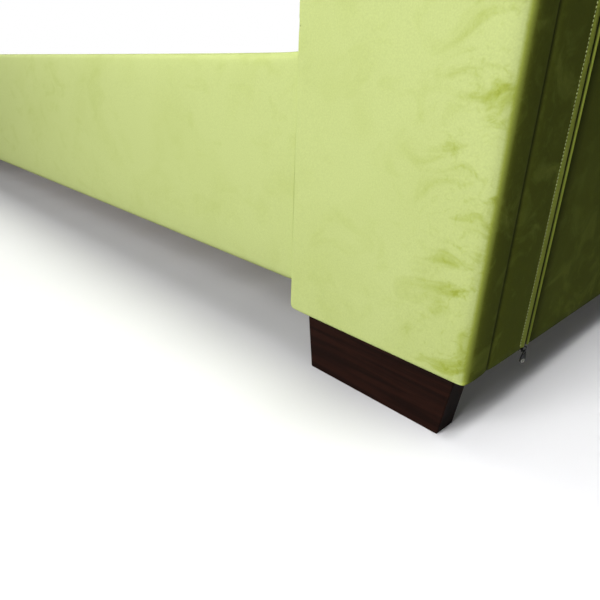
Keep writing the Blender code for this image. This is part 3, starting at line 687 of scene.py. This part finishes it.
# %% [markdown]
# ## The headboard's cover
#
# The cover is a deep bag that is pulled down over the headboard. A strip runs round its sides
# and top and turns 49 mm onto the back, where a plain seam joins it to the rest. Between the
# two zips the back is open for the panel that closes it. In front, cloth of an ordinary roll
# width needs two upright seams, and a cross seam at mattress height lets the part above swell.

# %% Headboard cover: shape
BACK_SEAM_X = HALF_WIDTH - 48.6 * MM
BACK_SEAM_Z = HEAD_HIGH.z - 48.6 * MM
PANEL_SEAM_X = HALF_WIDTH / 3
FRONT_SEAM_Z = RAIL_HIGH.z + 25 * MM
HEM = 30 * MM


def headboard_radius(middle):
    """The foam is fullest at the back's corners and along the top, and tight where the hem turns."""
    if middle.z < -0.5:
        return 9 * MM if middle.y < -0.5 else 3 * MM
    if middle.y > 0.5:
        return 16 * MM
    return 12 * MM if middle.z > 0.5 else 5 * MM


def headboard_shape():
    bm = rounded_box(HEAD_LOW, HEAD_HIGH, headboard_radius)
    x_seams = [s * x for x in (PANEL_SEAM_X, BACK_SEAM_X) for s in (-1, 1)]
    x_edges = [s * x for x in (WINDOW_X, WINDOW_X + 2 * MM, HALF_WIDTH - HEM) for s in (-1, 1)]
    cut_rows(bm, 0, rows(HEAD_LOW.x + 15 * MM, HEAD_HIGH.x - 15 * MM, x_seams, x_edges))
    y_edges = [HEAD_LOW.y + d * MM for d in (3, 7, 13)] + [HEAD_LOW.y + HEM, BACK_Y - HEM]
    cut_rows(bm, 1, rows(HEAD_LOW.y + 12 * MM, BACK_Y - 18 * MM, (), y_edges))
    z_seams = (FRONT_SEAM_Z, BACK_SEAM_Z)
    z_edges = [HEAD_LOW.z + d * MM for d in (3, 7, 13)] + [WINDOW_TOP]
    cut_rows(bm, 2, rows(HEAD_LOW.z + 12 * MM, HEAD_HIGH.z - 18 * MM, z_seams, z_edges))
    delete_faces(
        bm,
        lambda c: c.z < HEAD_LOW.z + MM
        and abs(c.x) < HALF_WIDTH - HEM
        and HEAD_LOW.y + HEM < c.y < BACK_Y - HEM,
    )
    delete_faces(bm, lambda c: c.y > BACK_Y - HEM and abs(c.x) < WINDOW_X and c.z < WINDOW_TOP)
    return bm

# %% [markdown]
# The seam on the back is a narrow valley in a wide shallow one. Each side of the headboard
# bellies a little, most at half its height. The front's lower edge turns under more softly than
# the other hems, so its points are moved onto a rounder corner.

# %% Headboard cover: back seam and crown
BACK_SEAM_DEPTH = 1.2 * MM
FRONT_HEM_RADIUS = 14 * MM
SIDE_CROWN = 1.6 * MM
CROWN_MIDDLE = 0.5
SLACK = 0.5 * MM


def from_back_seam(point):
    """How far a point on the headboard's back is from the seam that runs round it."""
    if point.y < BACK_Y - 7 * MM:
        return 1.0
    beside = abs(abs(point.x) - BACK_SEAM_X) if point.z < BACK_SEAM_Z + 2 * MM else 1.0
    above = abs(point.z - BACK_SEAM_Z) if abs(point.x) < BACK_SEAM_X + 2 * MM else 1.0
    return min(beside, above)


def sink_headboard_seams(point):
    """How far a point is pulled in by the nearest seam."""
    nearest = from_back_seam(point)
    return BACK_SEAM_DEPTH * (ease(nearest, 2.2 * MM) + ease(nearest, 16 * MM))


def round_front_hem(point):
    """Moves a point at the front's lower edge onto a rounder corner."""
    inwards = Vector((0, HEAD_LOW.y + FRONT_HEM_RADIUS - point.y, HEAD_LOW.z + FRONT_HEM_RADIUS - point.z))
    if min(inwards.y, inwards.z) > 0 and inwards.length > FRONT_HEM_RADIUS:
        return point + inwards * (1 - FRONT_HEM_RADIUS / inwards.length)
    return point


def shape_headboard(piece):
    for vertex in piece.data.vertices:
        vertex.co = round_front_hem(vertex.co)
        point = vertex.co.copy()
        side_share = max(0.0, 1 - abs(point.z - CROWN_MIDDLE) / CROWN_MIDDLE)
        if abs(point.x) > HALF_WIDTH - 0.5 * MM:
            crown = SIDE_CROWN * math.sin(math.pi * (point.y - HEAD_LOW.y) / (BACK_Y - HEAD_LOW.y))
            vertex.co.x += math.copysign(crown * side_share + waver(point, 0.11, SLACK), point.x)
        if point.y > BACK_Y - 0.5 * MM:
            vertex.co.y += waver(point, 0.13, SLACK)
        vertex.co.y -= sink_headboard_seams(point)

# %% [markdown]
# Now the cover is made. Only its front, above the cross seam, is free to swell. The simulation
# holds the rest, which the functions above shape. Last the pile is laid: hands brush it most
# along the headboard's rear edge, where the bed is taken hold of to move it.

# %% Headboard cover: piece
cover = piece_from(headboard_shape(), "headboard_velvet_cover", VELVET)
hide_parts("headboard_cover", "headboard_padding")


def held_on_headboard(point):
    on_seam = (
        abs(abs(point.x) - PANEL_SEAM_X) < 2 * MM
        or point.z < FRONT_SEAM_Z + 2 * MM
        or point.z > HEAD_HIGH.z - 12 * MM
        or abs(point.x) > HALF_WIDTH - 12 * MM
    )
    return on_seam or point.y > HEAD_LOW.y + 1 * MM


swell(cover, held_on_headboard, 16 * MM)
shape_headboard(cover)
lay_pile(
    cover,
    lambda p: min(1.0, 0.12 + brushed_near(p.y - BACK_Y, 63.2 * MM, 0.9) + 0.15 * noise.noise(p * 6)),
    # Painted shade in the valley of the back's seam.
    lambda p: 0.95 * ease(from_back_seam(p), 3.4 * MM),
)
finish_cloth(cover)
print("headboard cover:", len(cover.data.polygons), "patches")

# %% [markdown]
# The headboard's front seams are sewn after the cloth has swelled, because a seam is narrower
# than the simulation's patches. Each one is a valley with soft shoulders.

# %% Headboard cover: front seams
SEAM_WIDTH = 5 * MM
FRONT_SEAM_DEPTH = 3.0 * MM

for vertex in cover.data.vertices:
    if vertex.co.y < HEAD_LOW.y + 3 * MM and vertex.co.z > FRONT_SEAM_Z - 6 * MM:
        upright = ease(abs(vertex.co.x) - PANEL_SEAM_X, SEAM_WIDTH)
        level_seam = ease(vertex.co.z - FRONT_SEAM_Z, SEAM_WIDTH)
        vertex.co.y += FRONT_SEAM_DEPTH * max(upright, level_seam)
print("front seams, mm deep:", round(FRONT_SEAM_DEPTH / MM, 1))

# %% [markdown]
# ## The zip-off back panel
#
# The panel hangs between the zips and tucks under the headboard with a hem. It is a single
# layer with no foam behind it, so it lies flatter than the padded faces and wavers a little.
# Its pile is brushed most near the hem, where hands reach under to close the zips.

# %% Back panel
HEM_TURN = 4 * MM
PANEL_SEAM_DEPTH = 1.8 * MM
EDGE_ROLL = 1.2 * MM


def back_panel_shape():
    bm = bmesh.new()
    width, height = PANEL_HIGH.x - PANEL_LOW.x, PANEL_HIGH.z - PANEL_LOW.z
    bmesh.ops.create_grid(bm, x_segments=1, y_segments=1, size=0.5)
    place = (
        Matrix.Translation((0, BACK_Y, (PANEL_LOW.z + PANEL_HIGH.z) / 2))
        @ Matrix.Diagonal((width, 1, height, 1))
        @ Matrix.Rotation(math.radians(90), 4, "X")
    )
    bmesh.ops.transform(bm, matrix=place, verts=bm.verts)
    hem_edge = [e for e in bm.edges if all(v.co.z < PANEL_LOW.z + MM for v in e.verts)]
    for step in (Vector((0, -HEM_TURN, 0)), Vector((0, -HEM + HEM_TURN, 0))):
        turned = bmesh.ops.extrude_edge_only(bm, edges=hem_edge)["geom"]
        new_verts = [g for g in turned if isinstance(g, bmesh.types.BMVert)]
        hem_edge = [g for g in turned if isinstance(g, bmesh.types.BMEdge)]
        bmesh.ops.translate(bm, vec=step, verts=new_verts)
        hem_edge = [e for e in hem_edge if all(v in new_verts for v in e.verts)]
    seams = (-PANEL_SEAM_X, PANEL_SEAM_X)
    edges = [s * (FLAP_X - d * MM) for s in (-1, 1) for d in (1.5, 5)]
    cut_rows(bm, 0, rows(PANEL_LOW.x, PANEL_HIGH.x, seams, edges))
    edges = (PANEL_LOW.z + 1.5 * MM, PANEL_LOW.z + 5 * MM, PANEL_HIGH.z - 1.5 * MM, PANEL_HIGH.z - 5 * MM)
    cut_rows(bm, 2, rows(PANEL_LOW.z, PANEL_HIGH.z, (), edges))
    face_along(bm, 1, lambda face: face.calc_center_median().y)
    return bm


def shape_back_panel(piece):
    for vertex in piece.data.vertices:
        point = vertex.co.copy()
        if point.y < BACK_Y - 2 * MM:
            continue
        from_side = FLAP_X - abs(point.x)
        from_end = min(point.z - PANEL_LOW.z, PANEL_HIGH.z - point.z)
        inside = 1 - ease(min(from_side, from_end), 80 * MM)
        vertex.co.y += inside * (waver(point, 0.16, 1.4 * MM) + waver(point, 0.06, 0.4 * MM))
        roll = EDGE_ROLL * (ease(from_side, 3 * MM) + ease(point.z - PANEL_LOW.z, 3 * MM))
        seam = PANEL_SEAM_DEPTH * ease(abs(point.x) - PANEL_SEAM_X, SEAM_WIDTH)
        vertex.co.y -= roll + seam


panel = piece_from(back_panel_shape(), "headboard_velvet_back_panel", VELVET)
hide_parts("headboard_back_panel")
shape_back_panel(panel)
lay_pile(
    panel,
    lambda p: min(1.0, 0.15 + brushed_near(p.z - PANEL_LOW.z, 141.4 * MM, 0.8) + 0.2 * noise.noise(p * 6)),
    # Painted shade on the panel beside the zip's lip.
    lambda p: 0.58 * ease(FLAP_X - abs(p.x), 34 * MM),
)
finish_cloth(panel)

# %% [markdown]
# ## Side rails
#
# A rail's cover is one strip of velvet, stapled inside above the slats, pulled over the padded
# top and down the outside, and stapled again underneath. Its section is drawn once and drawn
# out along the rail. Near each end it tucks in, which leaves the fine line at the headboard.

# %% Rail covers
RAIL_RADIUS = 9 * MM
RAIL_CROWN = 1.2 * MM
END_TUCK = 0.8 * MM
TUCK_LENGTH = 7 * MM


def rail_section():
    """Points across the cloth's outer face, on the bed's right side."""
    inner, outer = RAIL_LOW.x, RAIL_HIGH.x
    corners = (
        (inner + RAIL_RADIUS, RAIL_HIGH.z - RAIL_RADIUS, math.pi),
        (outer - RAIL_RADIUS, RAIL_HIGH.z - RAIL_RADIUS, math.pi / 2),
        (outer - RAIL_RADIUS, RAIL_LOW.z + RAIL_RADIUS, 0.0),
    )
    points = [(inner, SLAT_HIGH.z + 12 * MM)]
    for x, z, start in corners:
        for step in range(6):
            angle = start - math.pi / 2 * step / 5
            points.append((x + RAIL_RADIUS * math.cos(angle), z + RAIL_RADIUS * math.sin(angle)))
    points.append((inner + 4 * MM, RAIL_LOW.z))
    return points


def rail_shape():
    start, end = RAIL_LOW.y, RAIL_HIGH.y
    bm = drawn_out([(x, start, z) for x, z in rail_section()], (0, end - start, 0))
    near_ends = [start + d * MM for d in (1, 3, 7)] + [end - d * MM for d in (1, 3, 7)]
    cut_rows(bm, 1, rows(start, end, (), near_ends))
    cut_rows(bm, 2, rows(RAIL_LOW.z + RAIL_RADIUS, RAIL_HIGH.z - RAIL_RADIUS))
    cut_rows(bm, 0, rows(RAIL_LOW.x + RAIL_RADIUS, RAIL_HIGH.x - RAIL_RADIUS))
    face_along(bm, 0, lambda face: face.calc_center_median().x)
    return bm


def shape_rail(piece, side):
    middle = Vector(((RAIL_LOW.x + RAIL_HIGH.x) / 2 * side, 0, (RAIL_LOW.z + RAIL_HIGH.z) / 2))
    for vertex in piece.data.vertices:
        point = vertex.co.copy()
        from_end = min(point.y - RAIL_LOW.y, RAIL_HIGH.y - point.y)
        tuck = END_TUCK * (1 - math.sin(math.pi / 2 * min(1.0, from_end / TUCK_LENGTH)))
        vertex.co.x -= math.copysign(tuck, point.x - middle.x)
        vertex.co.z -= math.copysign(tuck, point.z - middle.z)
        if abs(point.x) > RAIL_HIGH.x - 1 * MM:
            high = (point.z - RAIL_LOW.z) / (RAIL_HIGH.z - RAIL_LOW.z)
            crown = RAIL_CROWN * math.sin(math.pi * high)
            vertex.co.x += side * (crown + waver(point, 0.17, SLACK))


for label, side in SIDES:
    shape = rail_shape()
    if side < 0:
        shape = mirrored(shape)
    rail = piece_from(shape, f"side_rail_velvet_cover_{label}", VELVET)
    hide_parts(f"side_rail_cover_{label}", f"side_rail_padding_{label}")
    swell(
        rail,
        lambda p: abs(p.x) < RAIL_LOW.x + 8 * MM
        or p.z < RAIL_LOW.z + 8 * MM
        or min(p.y - RAIL_LOW.y, RAIL_HIGH.y - p.y) < 4 * MM,
        2.5 * MM,
        pressure=2.0,
    )
    shape_rail(rail, side)
    lay_pile(rail, lambda p: 0.12 + 0.1 * noise.noise(p * 5))
    finish_cloth(rail)
print("rail cover:", len(rail.data.polygons), "patches")

# %% [markdown]
# ## Footboard
#
# The footboard is a low copy of the headboard: the same bag of cloth over foam and board, with
# the same two upright seams, and a hem that is stapled underneath.

# %% Footboard cover
FOOT_SEAM_DEPTH = 2.6 * MM


def footboard_shape():
    bm = rounded_box(FOOT_LOW, FOOT_HIGH, lambda m: 4 * MM if m.z < -0.5 else 10 * MM)
    x_seams = (-PANEL_SEAM_X, PANEL_SEAM_X)
    cut_rows(bm, 0, rows(FOOT_LOW.x + 10 * MM, FOOT_HIGH.x - 10 * MM, x_seams))
    cut_rows(bm, 1, rows(FOOT_LOW.y + 10 * MM, FOOT_HIGH.y - 10 * MM))
    cut_rows(bm, 2, rows(FOOT_LOW.z + 10 * MM, FOOT_HIGH.z - 10 * MM))
    return bm


def held_on_footboard(point):
    return (
        point.y > FOOT_LOW.y + 1 * MM
        or abs(abs(point.x) - PANEL_SEAM_X) < 2 * MM
        or point.z < FOOT_LOW.z + 8 * MM
        or abs(point.x) > HALF_WIDTH - 10 * MM
    )


footboard = piece_from(footboard_shape(), "footboard_velvet_cover", VELVET)
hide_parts("footboard_cover", "footboard_padding")
swell(footboard, held_on_footboard, 7 * MM)
for vertex in footboard.data.vertices:
    if vertex.co.y < FOOT_LOW.y + 3 * MM:
        vertex.co.y += FOOT_SEAM_DEPTH * ease(abs(vertex.co.x) - PANEL_SEAM_X, SEAM_WIDTH)
lay_pile(footboard, lambda p: 0.3 + 0.3 * noise.noise(p * 5))
finish_cloth(footboard)
print("footboard cover:", len(footboard.data.polygons), "patches")

# %% [markdown]
# ## Zips
#
# Each half of a zip is a woven tape. Along its inner edge the tape is rolled into a lip that
# stands beside the slider's track, and the other edge disappears under the velvet. The nylon
# coil is a row of small loops along the track, one every 1.4 mm.

# %% Zip tapes and coils
TRACK = 3.8 * MM
TAPE_THICKNESS = 0.5 * MM
TOOTH_PITCH = 1.4 * MM
TOOTH_LENGTH = 2.4 * MM
TOOTH_RADIUS = 0.42 * MM
TAPE_EDGE = 0.7 * MM
COIL_DEPTH = 2.45 * MM
COIL_MARGIN = 3 * MM
TEETH = int((TAPE_HIGH.z - TAPE_LOW.z - 2 * COIL_MARGIN) / TOOTH_PITCH)


def tape_section(outwards):
    """The tape's section as (distance from the zip's middle, height over the back's face in mm)."""
    far = TAPE_HIGH.x - ZIP_X
    if outwards > 0:
        edge = WINDOW_X - ZIP_X
        fold = [(TRACK, -0.9), (TRACK + 0.2 * MM, 0.5), (TRACK + 1.0 * MM, 1.1)]
        fold += [(TRACK + 4.0 * MM, 0.7), (edge - 1.5 * MM, -0.1), (edge - 0.2 * MM, -1.0)]
    else:
        edge = ZIP_X - FLAP_X
        fold = [(TRACK, -0.9), (TRACK + 0.2 * MM, 0.9), (TRACK + 0.9 * MM, 1.9)]
        fold += [(TRACK + 1.6 * MM, 1.6), (edge - 0.2 * MM, -0.5)]
    return [(TAPE_EDGE, -2.5), (TRACK - 0.2 * MM, -2.4), *fold, (edge + 1.5 * MM, -2.6), (far, -2.8)]


def tape_shape(side, outwards):
    points = [
        (side * (ZIP_X + outwards * distance), BACK_Y + height * MM, TAPE_LOW.z)
        for distance, height in tape_section(outwards)
    ]
    bm = drawn_out(points, (0, 0, TAPE_HIGH.z - TAPE_LOW.z))
    face_along(bm, 1, lambda face: abs(face.normal.y) * face.calc_area())
    return bm


def track_shade(point):
    """Painted shade: 1 on tape that lies deep in the track, and 0 on its folds."""
    return 0.9 * between(0.5 * MM, 1.1 * MM, BACK_Y + 0.4 * MM - point.y)


def coil_shape(side, outwards):
    """A row of teeth: small six-sided rods across the tape's inner edge."""
    bm = bmesh.new()
    middle_x = side * (ZIP_X + outwards * (TAPE_EDGE + TOOTH_LENGTH / 2))
    lying = Matrix.Rotation(math.radians(90), 4, "Y")
    for number in range(TEETH):
        z = TAPE_LOW.z + COIL_MARGIN + number * TOOTH_PITCH
        bmesh.ops.create_cone(
            bm,
            cap_ends=True,
            segments=6,
            radius1=TOOTH_RADIUS,
            radius2=TOOTH_RADIUS,
            depth=TOOTH_LENGTH,
            matrix=Matrix.Translation((middle_x, BACK_Y - COIL_DEPTH, z)) @ lying,
        )
    return bm


for label, side in SIDES:
    for where, outwards in (("outer", 1), ("inner", -1)):
        tape = piece_from(
            tape_shape(side, outwards), f"zip_woven_tape_{where}_{label}", TAPE, smooth_angle=50
        )
        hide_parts(f"zip_tape_{where}_{label}")
        # The tape's painted shade, deep in the track.
        store(tape, "seam", track_shade)
        thicken(tape, TAPE_THICKNESS)
        piece_from(coil_shape(side, outwards), f"zip_coil_{where}_{label}", NYLON)
print("teeth on each half zip:", TEETH)

# %% [markdown]
# ## Stitches
#
# The velvet's folded edge is topstitched to the zip's tape, close to the fold. A stitch is a
# short thread that dips into the cloth at both ends, so each one is a small flattened spindle.

# %% Topstitching
STITCH_LENGTH = 2.6 * MM
STITCH_PITCH = 3.6 * MM
STITCH_RADIUS = 0.6 * MM
STITCH_FROM_FOLD = 1.6 * MM


def stitch_row(bm, start, end):
    """Adds a row of stitches from one point to another, on a face that looks to +Y."""
    run = end - start
    count = int(run.length / STITCH_PITCH)
    along = run.normalized()
    turned = along.to_track_quat("Z", "Y").to_matrix().to_4x4()
    for number in range(count):
        centre = start + along * (number + 0.5) * STITCH_PITCH
        squash = Matrix.Diagonal((STITCH_RADIUS, STITCH_RADIUS, STITCH_LENGTH / 2, 1))
        bmesh.ops.create_icosphere(
            bm, subdivisions=1, radius=1.0, matrix=Matrix.Translation(centre) @ turned @ squash
        )


for label, side in SIDES:
    bm = bmesh.new()
    first = Vector((side * (WINDOW_X + STITCH_FROM_FOLD), BACK_Y + 0.1 * MM, HEAD_LOW.z + 6 * MM))
    stitch_row(bm, first, Vector((*first.xy, WINDOW_TOP)))
    piece_from(bm, f"zip_topstitching_{label}", THREAD)
print("stitches on each side:", int((WINDOW_TOP - first.z) / STITCH_PITCH))

# %% [markdown]
# ## Slider and pull
#
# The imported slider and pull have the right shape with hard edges. A copy of each is merged and
# its edges are broken with a small bevel, as die casting leaves them. A bare metal ring lines
# the hole at the pull's end.

# %% Slider and pull
PULL_TIP = 3.4 * MM
PULL_TWIST = math.radians(34)
PULL_WIDENED = 1.2
RING_INNER, RING_OUTER, RING_DEPTH = 1.3 * MM, 2.9 * MM, 1.8 * MM


def softened_copy(node, width, widened=1.0):
    bm = bmesh.new()
    bm.from_mesh(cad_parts[node].data)
    low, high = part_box(node)
    middle = Matrix.Translation((low + high) / 2)
    bmesh.ops.scale(bm, vec=(widened, 1, 1), space=middle.inverted(), verts=bm.verts)
    bmesh.ops.remove_doubles(bm, verts=bm.verts, dist=0.00001)
    bmesh.ops.dissolve_limit(bm, angle_limit=math.radians(3), verts=bm.verts, edges=bm.edges)
    sharp = [e for e in bm.edges if e.is_manifold and e.calc_face_angle() > math.radians(35)]
    bmesh.ops.bevel(
        bm,
        geom=sharp,
        offset=width,
        offset_type="OFFSET",
        segments=2,
        profile=0.5,
        affect="EDGES",
        clamp_overlap=True,
        material=-1,
    )
    return bm


def ring_shape(centre, inner, outer, depth):
    """A flat ring about an axis along Y."""
    bm = bmesh.new()
    half = depth / 2
    corners = ((inner, -half), (outer, -half * 0.6), (outer, half * 0.6), (inner, half))
    line = [bm.verts.new(centre + Vector((radius, y, 0))) for radius, y in corners]
    edges = [bm.edges.new(pair) for pair in zip(line, line[1:] + line[:1])]
    bmesh.ops.spin(
        bm, geom=line + edges, cent=centre, axis=(0, 1, 0), angle=math.tau, steps=24, use_merge=True
    )
    bmesh.ops.recalc_face_normals(bm, faces=bm.faces)
    return bm


def twist_pull(bm, side):
    """Turns the pull about its own length, below its eye, as it hangs loose on the arch."""
    centre = Vector((side * ZIP_X, (PULL_LOW.y + PULL_HIGH.y) / 2, 0))
    for vertex in bm.verts:
        share = between(4 * MM, 8 * MM, PULL_HIGH.z - vertex.co.z)
        turned = Matrix.Rotation(-side * PULL_TWIST * share, 3, "Z") @ (vertex.co - centre)
        vertex.co = centre + turned
    return bm


for label, side in SIDES:
    slider = piece_from(
        softened_copy(f"zip_slider_{label}", 0.15 * MM),
        f"zip_slider_body_{label}",
        ENAMEL,
        f"zip_slider_{label}",
        smooth_angle=40,
    )
    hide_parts(f"zip_slider_{label}")
    pull = piece_from(
        twist_pull(softened_copy(f"zip_pull_{label}", 0.2 * MM, widened=PULL_WIDENED), side),
        f"zip_pull_tab_{label}",
        ENAMEL,
        f"zip_pull_{label}",
        smooth_angle=40,
    )
    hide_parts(f"zip_pull_{label}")
    hole = Vector((side * ZIP_X, (PULL_LOW.y + PULL_HIGH.y) / 2, PULL_LOW.z + PULL_TIP))
    piece_from(
        twist_pull(ring_shape(hole, RING_INNER, RING_OUTER, RING_DEPTH), side),
        f"zip_pull_ring_{label}",
        WORN_NICKEL,
        f"zip_pull_{label}",
        smooth_angle=40,
    )
print("pull, mm:", [round(c / MM, 1) for c in pull.dimensions])

# %% [markdown]
# ## Slat screws
#
# A countersunk screw holds each slat to the ledger at both ends and to the beam in the middle.
# Its head is a short cone with a recess: a primitive cone, whose top face is inset and pushed in.

# %% Slat screws
SCREW_RADIUS = 4.2 * MM
SCREW_DEPTH = 2.4 * MM
SCREW_PROUD = 0.3 * MM
RECESS_RADIUS = 2.0 * MM
RECESS_DEPTH = 1.2 * MM
RECESS_TAPER = 0.5 * MM


def screw_head(bm, top):
    """Adds one head whose top face lies at a point and looks up."""
    made = bmesh.ops.create_cone(
        bm,
        cap_ends=True,
        segments=14,
        radius1=SCREW_RADIUS * 0.6,
        radius2=SCREW_RADIUS,
        depth=SCREW_DEPTH,
        matrix=Matrix.Translation(top - Vector((0, 0, SCREW_DEPTH / 2))),
    )
    around = {face for vertex in made["verts"] for face in vertex.link_faces}
    cap = max(around, key=lambda face: face.calc_center_median().z)
    bmesh.ops.inset_region(bm, faces=[cap], thickness=SCREW_RADIUS - RECESS_RADIUS, depth=0.0)
    bmesh.ops.inset_region(bm, faces=[cap], thickness=RECESS_TAPER, depth=-RECESS_DEPTH)


LEDGER_LOW, LEDGER_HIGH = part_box("slat_ledger_right")
LEDGER_X = (LEDGER_LOW.x + LEDGER_HIGH.x) / 2
screw_bm = bmesh.new()
slat_nodes = sorted(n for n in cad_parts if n.startswith("slat_") and "ledger" not in n)
for node_name in slat_nodes:
    slat_low, slat_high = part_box(node_name)
    for x in (-LEDGER_X, 0.0, LEDGER_X):
        screw_head(screw_bm, Vector((x, (slat_low.y + slat_high.y) / 2, slat_high.z + SCREW_PROUD)))
piece_from(screw_bm, "slat_screws", ZINC, smooth_angle=30)
print("slat screws:", 3 * len(slat_nodes))

# %% [markdown]
# ## Studio
#
# A pale floor and soft boxes. Two key lights stand to the bed's right, level with the headboard:
# a low one for the side faces and a high one for the floor. They graze the headboard's back, so
# it stays in its own shade. A panel with a narrow beam hangs over the floor behind, and weak
# ones keep the other sides readable. A white floor would throw light up into that shade, so the
# floor gives back less light than it shows, and the pale sky lights nothing. A painted shadow
# makes the floor darker under and beside the bed and a little lighter further out. The floor
# also glows faintly, a painted light that lifts its shadows, and far away it fades into the backdrop.

# %% Floor
FLOOR_SHOWN = linear("#DADADC")
FLOOR_GIVEN_BACK = linear("#949494")
# A faint glow, painted light that lifts the floor's shadows.
FLOOR_GLOW = linear("#3E3E3E")
BACKDROP = linear("#F6F6F6")
FADE_FROM, FADE_TO = 2.2, 5.0
SHADED = (0.80, 1.00, 0.0)
SHADE_WIDTH = 0.26
SHADE_TONES = (0.60, 1.14)

floor_finish = bpy.data.materials.new("studio_floor")
floor_finish.use_nodes = True
floor_tree = floor_finish.node_tree
floor_tree.nodes.clear()
floor_ray = add_node(floor_tree, "ShaderNodeLightPath")
given_back = add_node(floor_tree, "ShaderNodeBsdfDiffuse", {"Color": FLOOR_GIVEN_BACK})
floor_place = add_node(floor_tree, "ShaderNodeTexCoord").outputs["Object"]
# Painted shadow: beside the bed the floor's colour is darker, which strengthens the shade that the bed
# throws.
folded = add_node(floor_tree, "ShaderNodeVectorMath", {0: floor_place}, operation="ABSOLUTE")
outside = add_node(floor_tree, "ShaderNodeVectorMath", {0: folded, 1: SHADED}, operation="SUBTRACT")
beyond = add_node(floor_tree, "ShaderNodeVectorMath", {0: outside, 1: (0, 0, 0)}, operation="MAXIMUM")
from_bed = add_node(floor_tree, "ShaderNodeVectorMath", {0: beyond}, operation="LENGTH")
painted_floor_shadow = add_node(
    floor_tree,
    "ShaderNodeMapRange",
    {
        "Value": from_bed.outputs["Value"],
        "From Max": SHADE_WIDTH,
        "To Min": SHADE_TONES[0],
        "To Max": SHADE_TONES[1],
    },
    interpolation_type="SMOOTHSTEP",
)
floor_colour = add_node(
    floor_tree,
    "ShaderNodeMix",
    {0: 1.0, 6: FLOOR_SHOWN, 7: painted_floor_shadow},
    data_type="RGBA",
    blend_type="MULTIPLY",
)
lit = add_node(floor_tree, "ShaderNodeBsdfDiffuse", {"Color": floor_colour.outputs[2]})
# Painted light: the floor glows faintly, which lifts its shadows.
glow = add_node(floor_tree, "ShaderNodeEmission", {"Color": FLOOR_GLOW})
near_floor = add_node(floor_tree, "ShaderNodeAddShader", {0: lit, 1: glow})
far_floor = add_node(floor_tree, "ShaderNodeEmission", {"Color": BACKDROP})
floor_distance = add_node(floor_tree, "ShaderNodeVectorMath", {0: floor_place}, operation="LENGTH")
fade = add_node(
    floor_tree,
    "ShaderNodeMapRange",
    {"Value": floor_distance.outputs["Value"], "From Min": FADE_FROM, "From Max": FADE_TO},
    interpolation_type="SMOOTHSTEP",
)
shown = add_node(floor_tree, "ShaderNodeMixShader", {0: fade, 1: near_floor, 2: far_floor})
floor_mix = add_node(
    floor_tree, "ShaderNodeMixShader", {0: floor_ray.outputs["Is Camera Ray"], 1: given_back, 2: shown}
)
add_node(floor_tree, "ShaderNodeOutputMaterial", {"Surface": floor_mix})

floor_bm = bmesh.new()
bmesh.ops.create_grid(floor_bm, x_segments=1, y_segments=1, size=30.0)
floor_mesh = bpy.data.meshes.new("floor")
floor_bm.to_mesh(floor_mesh)
floor_bm.free()
floor_mesh.materials.append(floor_finish)
floor = bpy.data.objects.new("floor", floor_mesh)
bpy.context.scene.collection.objects.link(floor)
print("floor fades from", FADE_FROM, "to", FADE_TO, "m")

# %% [markdown]
# The lights are flat panels, placed and aimed at a point. Their powers were set one by
# one, because light adds up. None of them shows in a picture.

# %% Lights and world
def soft_box_light(name, place, target, size, watts, beam=180):
    """A flat panel of light. beam narrows it, in degrees, as a grid of slats in front of it does."""
    data = bpy.data.lights.new(name, "AREA")
    data.shape = "RECTANGLE"
    data.size, data.size_y = size
    data.energy = watts
    data.spread = math.radians(beam)
    made = bpy.data.objects.new(name, data)
    bpy.context.scene.collection.objects.link(made)
    made.visible_camera = False
    made.location = place
    made.rotation_euler = (Vector(target) - Vector(place)).to_track_quat("-Z", "Y").to_euler()


NEAR_CORNER = (0.8, 0.9, 0.3)
soft_box_light("low_key", (2.9, 1.0, 1.4), NEAR_CORNER, (1.4, 1.3), 56)
soft_box_light("high_key", (3.0, 0.9, 2.4), NEAR_CORNER, (1.6, 1.4), 32)
soft_box_light("behind", (0.9, 1.75, 3.8), (0.9, 1.75, 0.0), (2.4, 0.9), 6, beam=32)
soft_box_light("overhead", (1.2, 0.0, 4.2), (1.0, 0.0, 0.0), (3.0, 2.3), 30)
soft_box_light("left_fill", (-4.5, -1.0, 2.4), (-0.8, 0.0, 0.3), (2.5, 2.0), 150)
soft_box_light("front_fill", (0.6, -5.0, 3.6), (0.0, -1.0, 0.4), (2.5, 2.0), 150)

world = bpy.data.worlds.new("studio")
world.use_nodes = True
bpy.context.scene.world = world
sky_tree = world.node_tree
sky = sky_tree.nodes["Background"]
sky.inputs["Color"].default_value = linear("#FFFFFF")
sky_ray = add_node(sky_tree, "ShaderNodeLightPath").outputs["Is Camera Ray"]
sky_tree.links.new(sky_ray, sky.inputs["Strength"])
bpy.context.scene.view_settings.view_transform = "Standard"
print("lights:", len(bpy.data.lights))
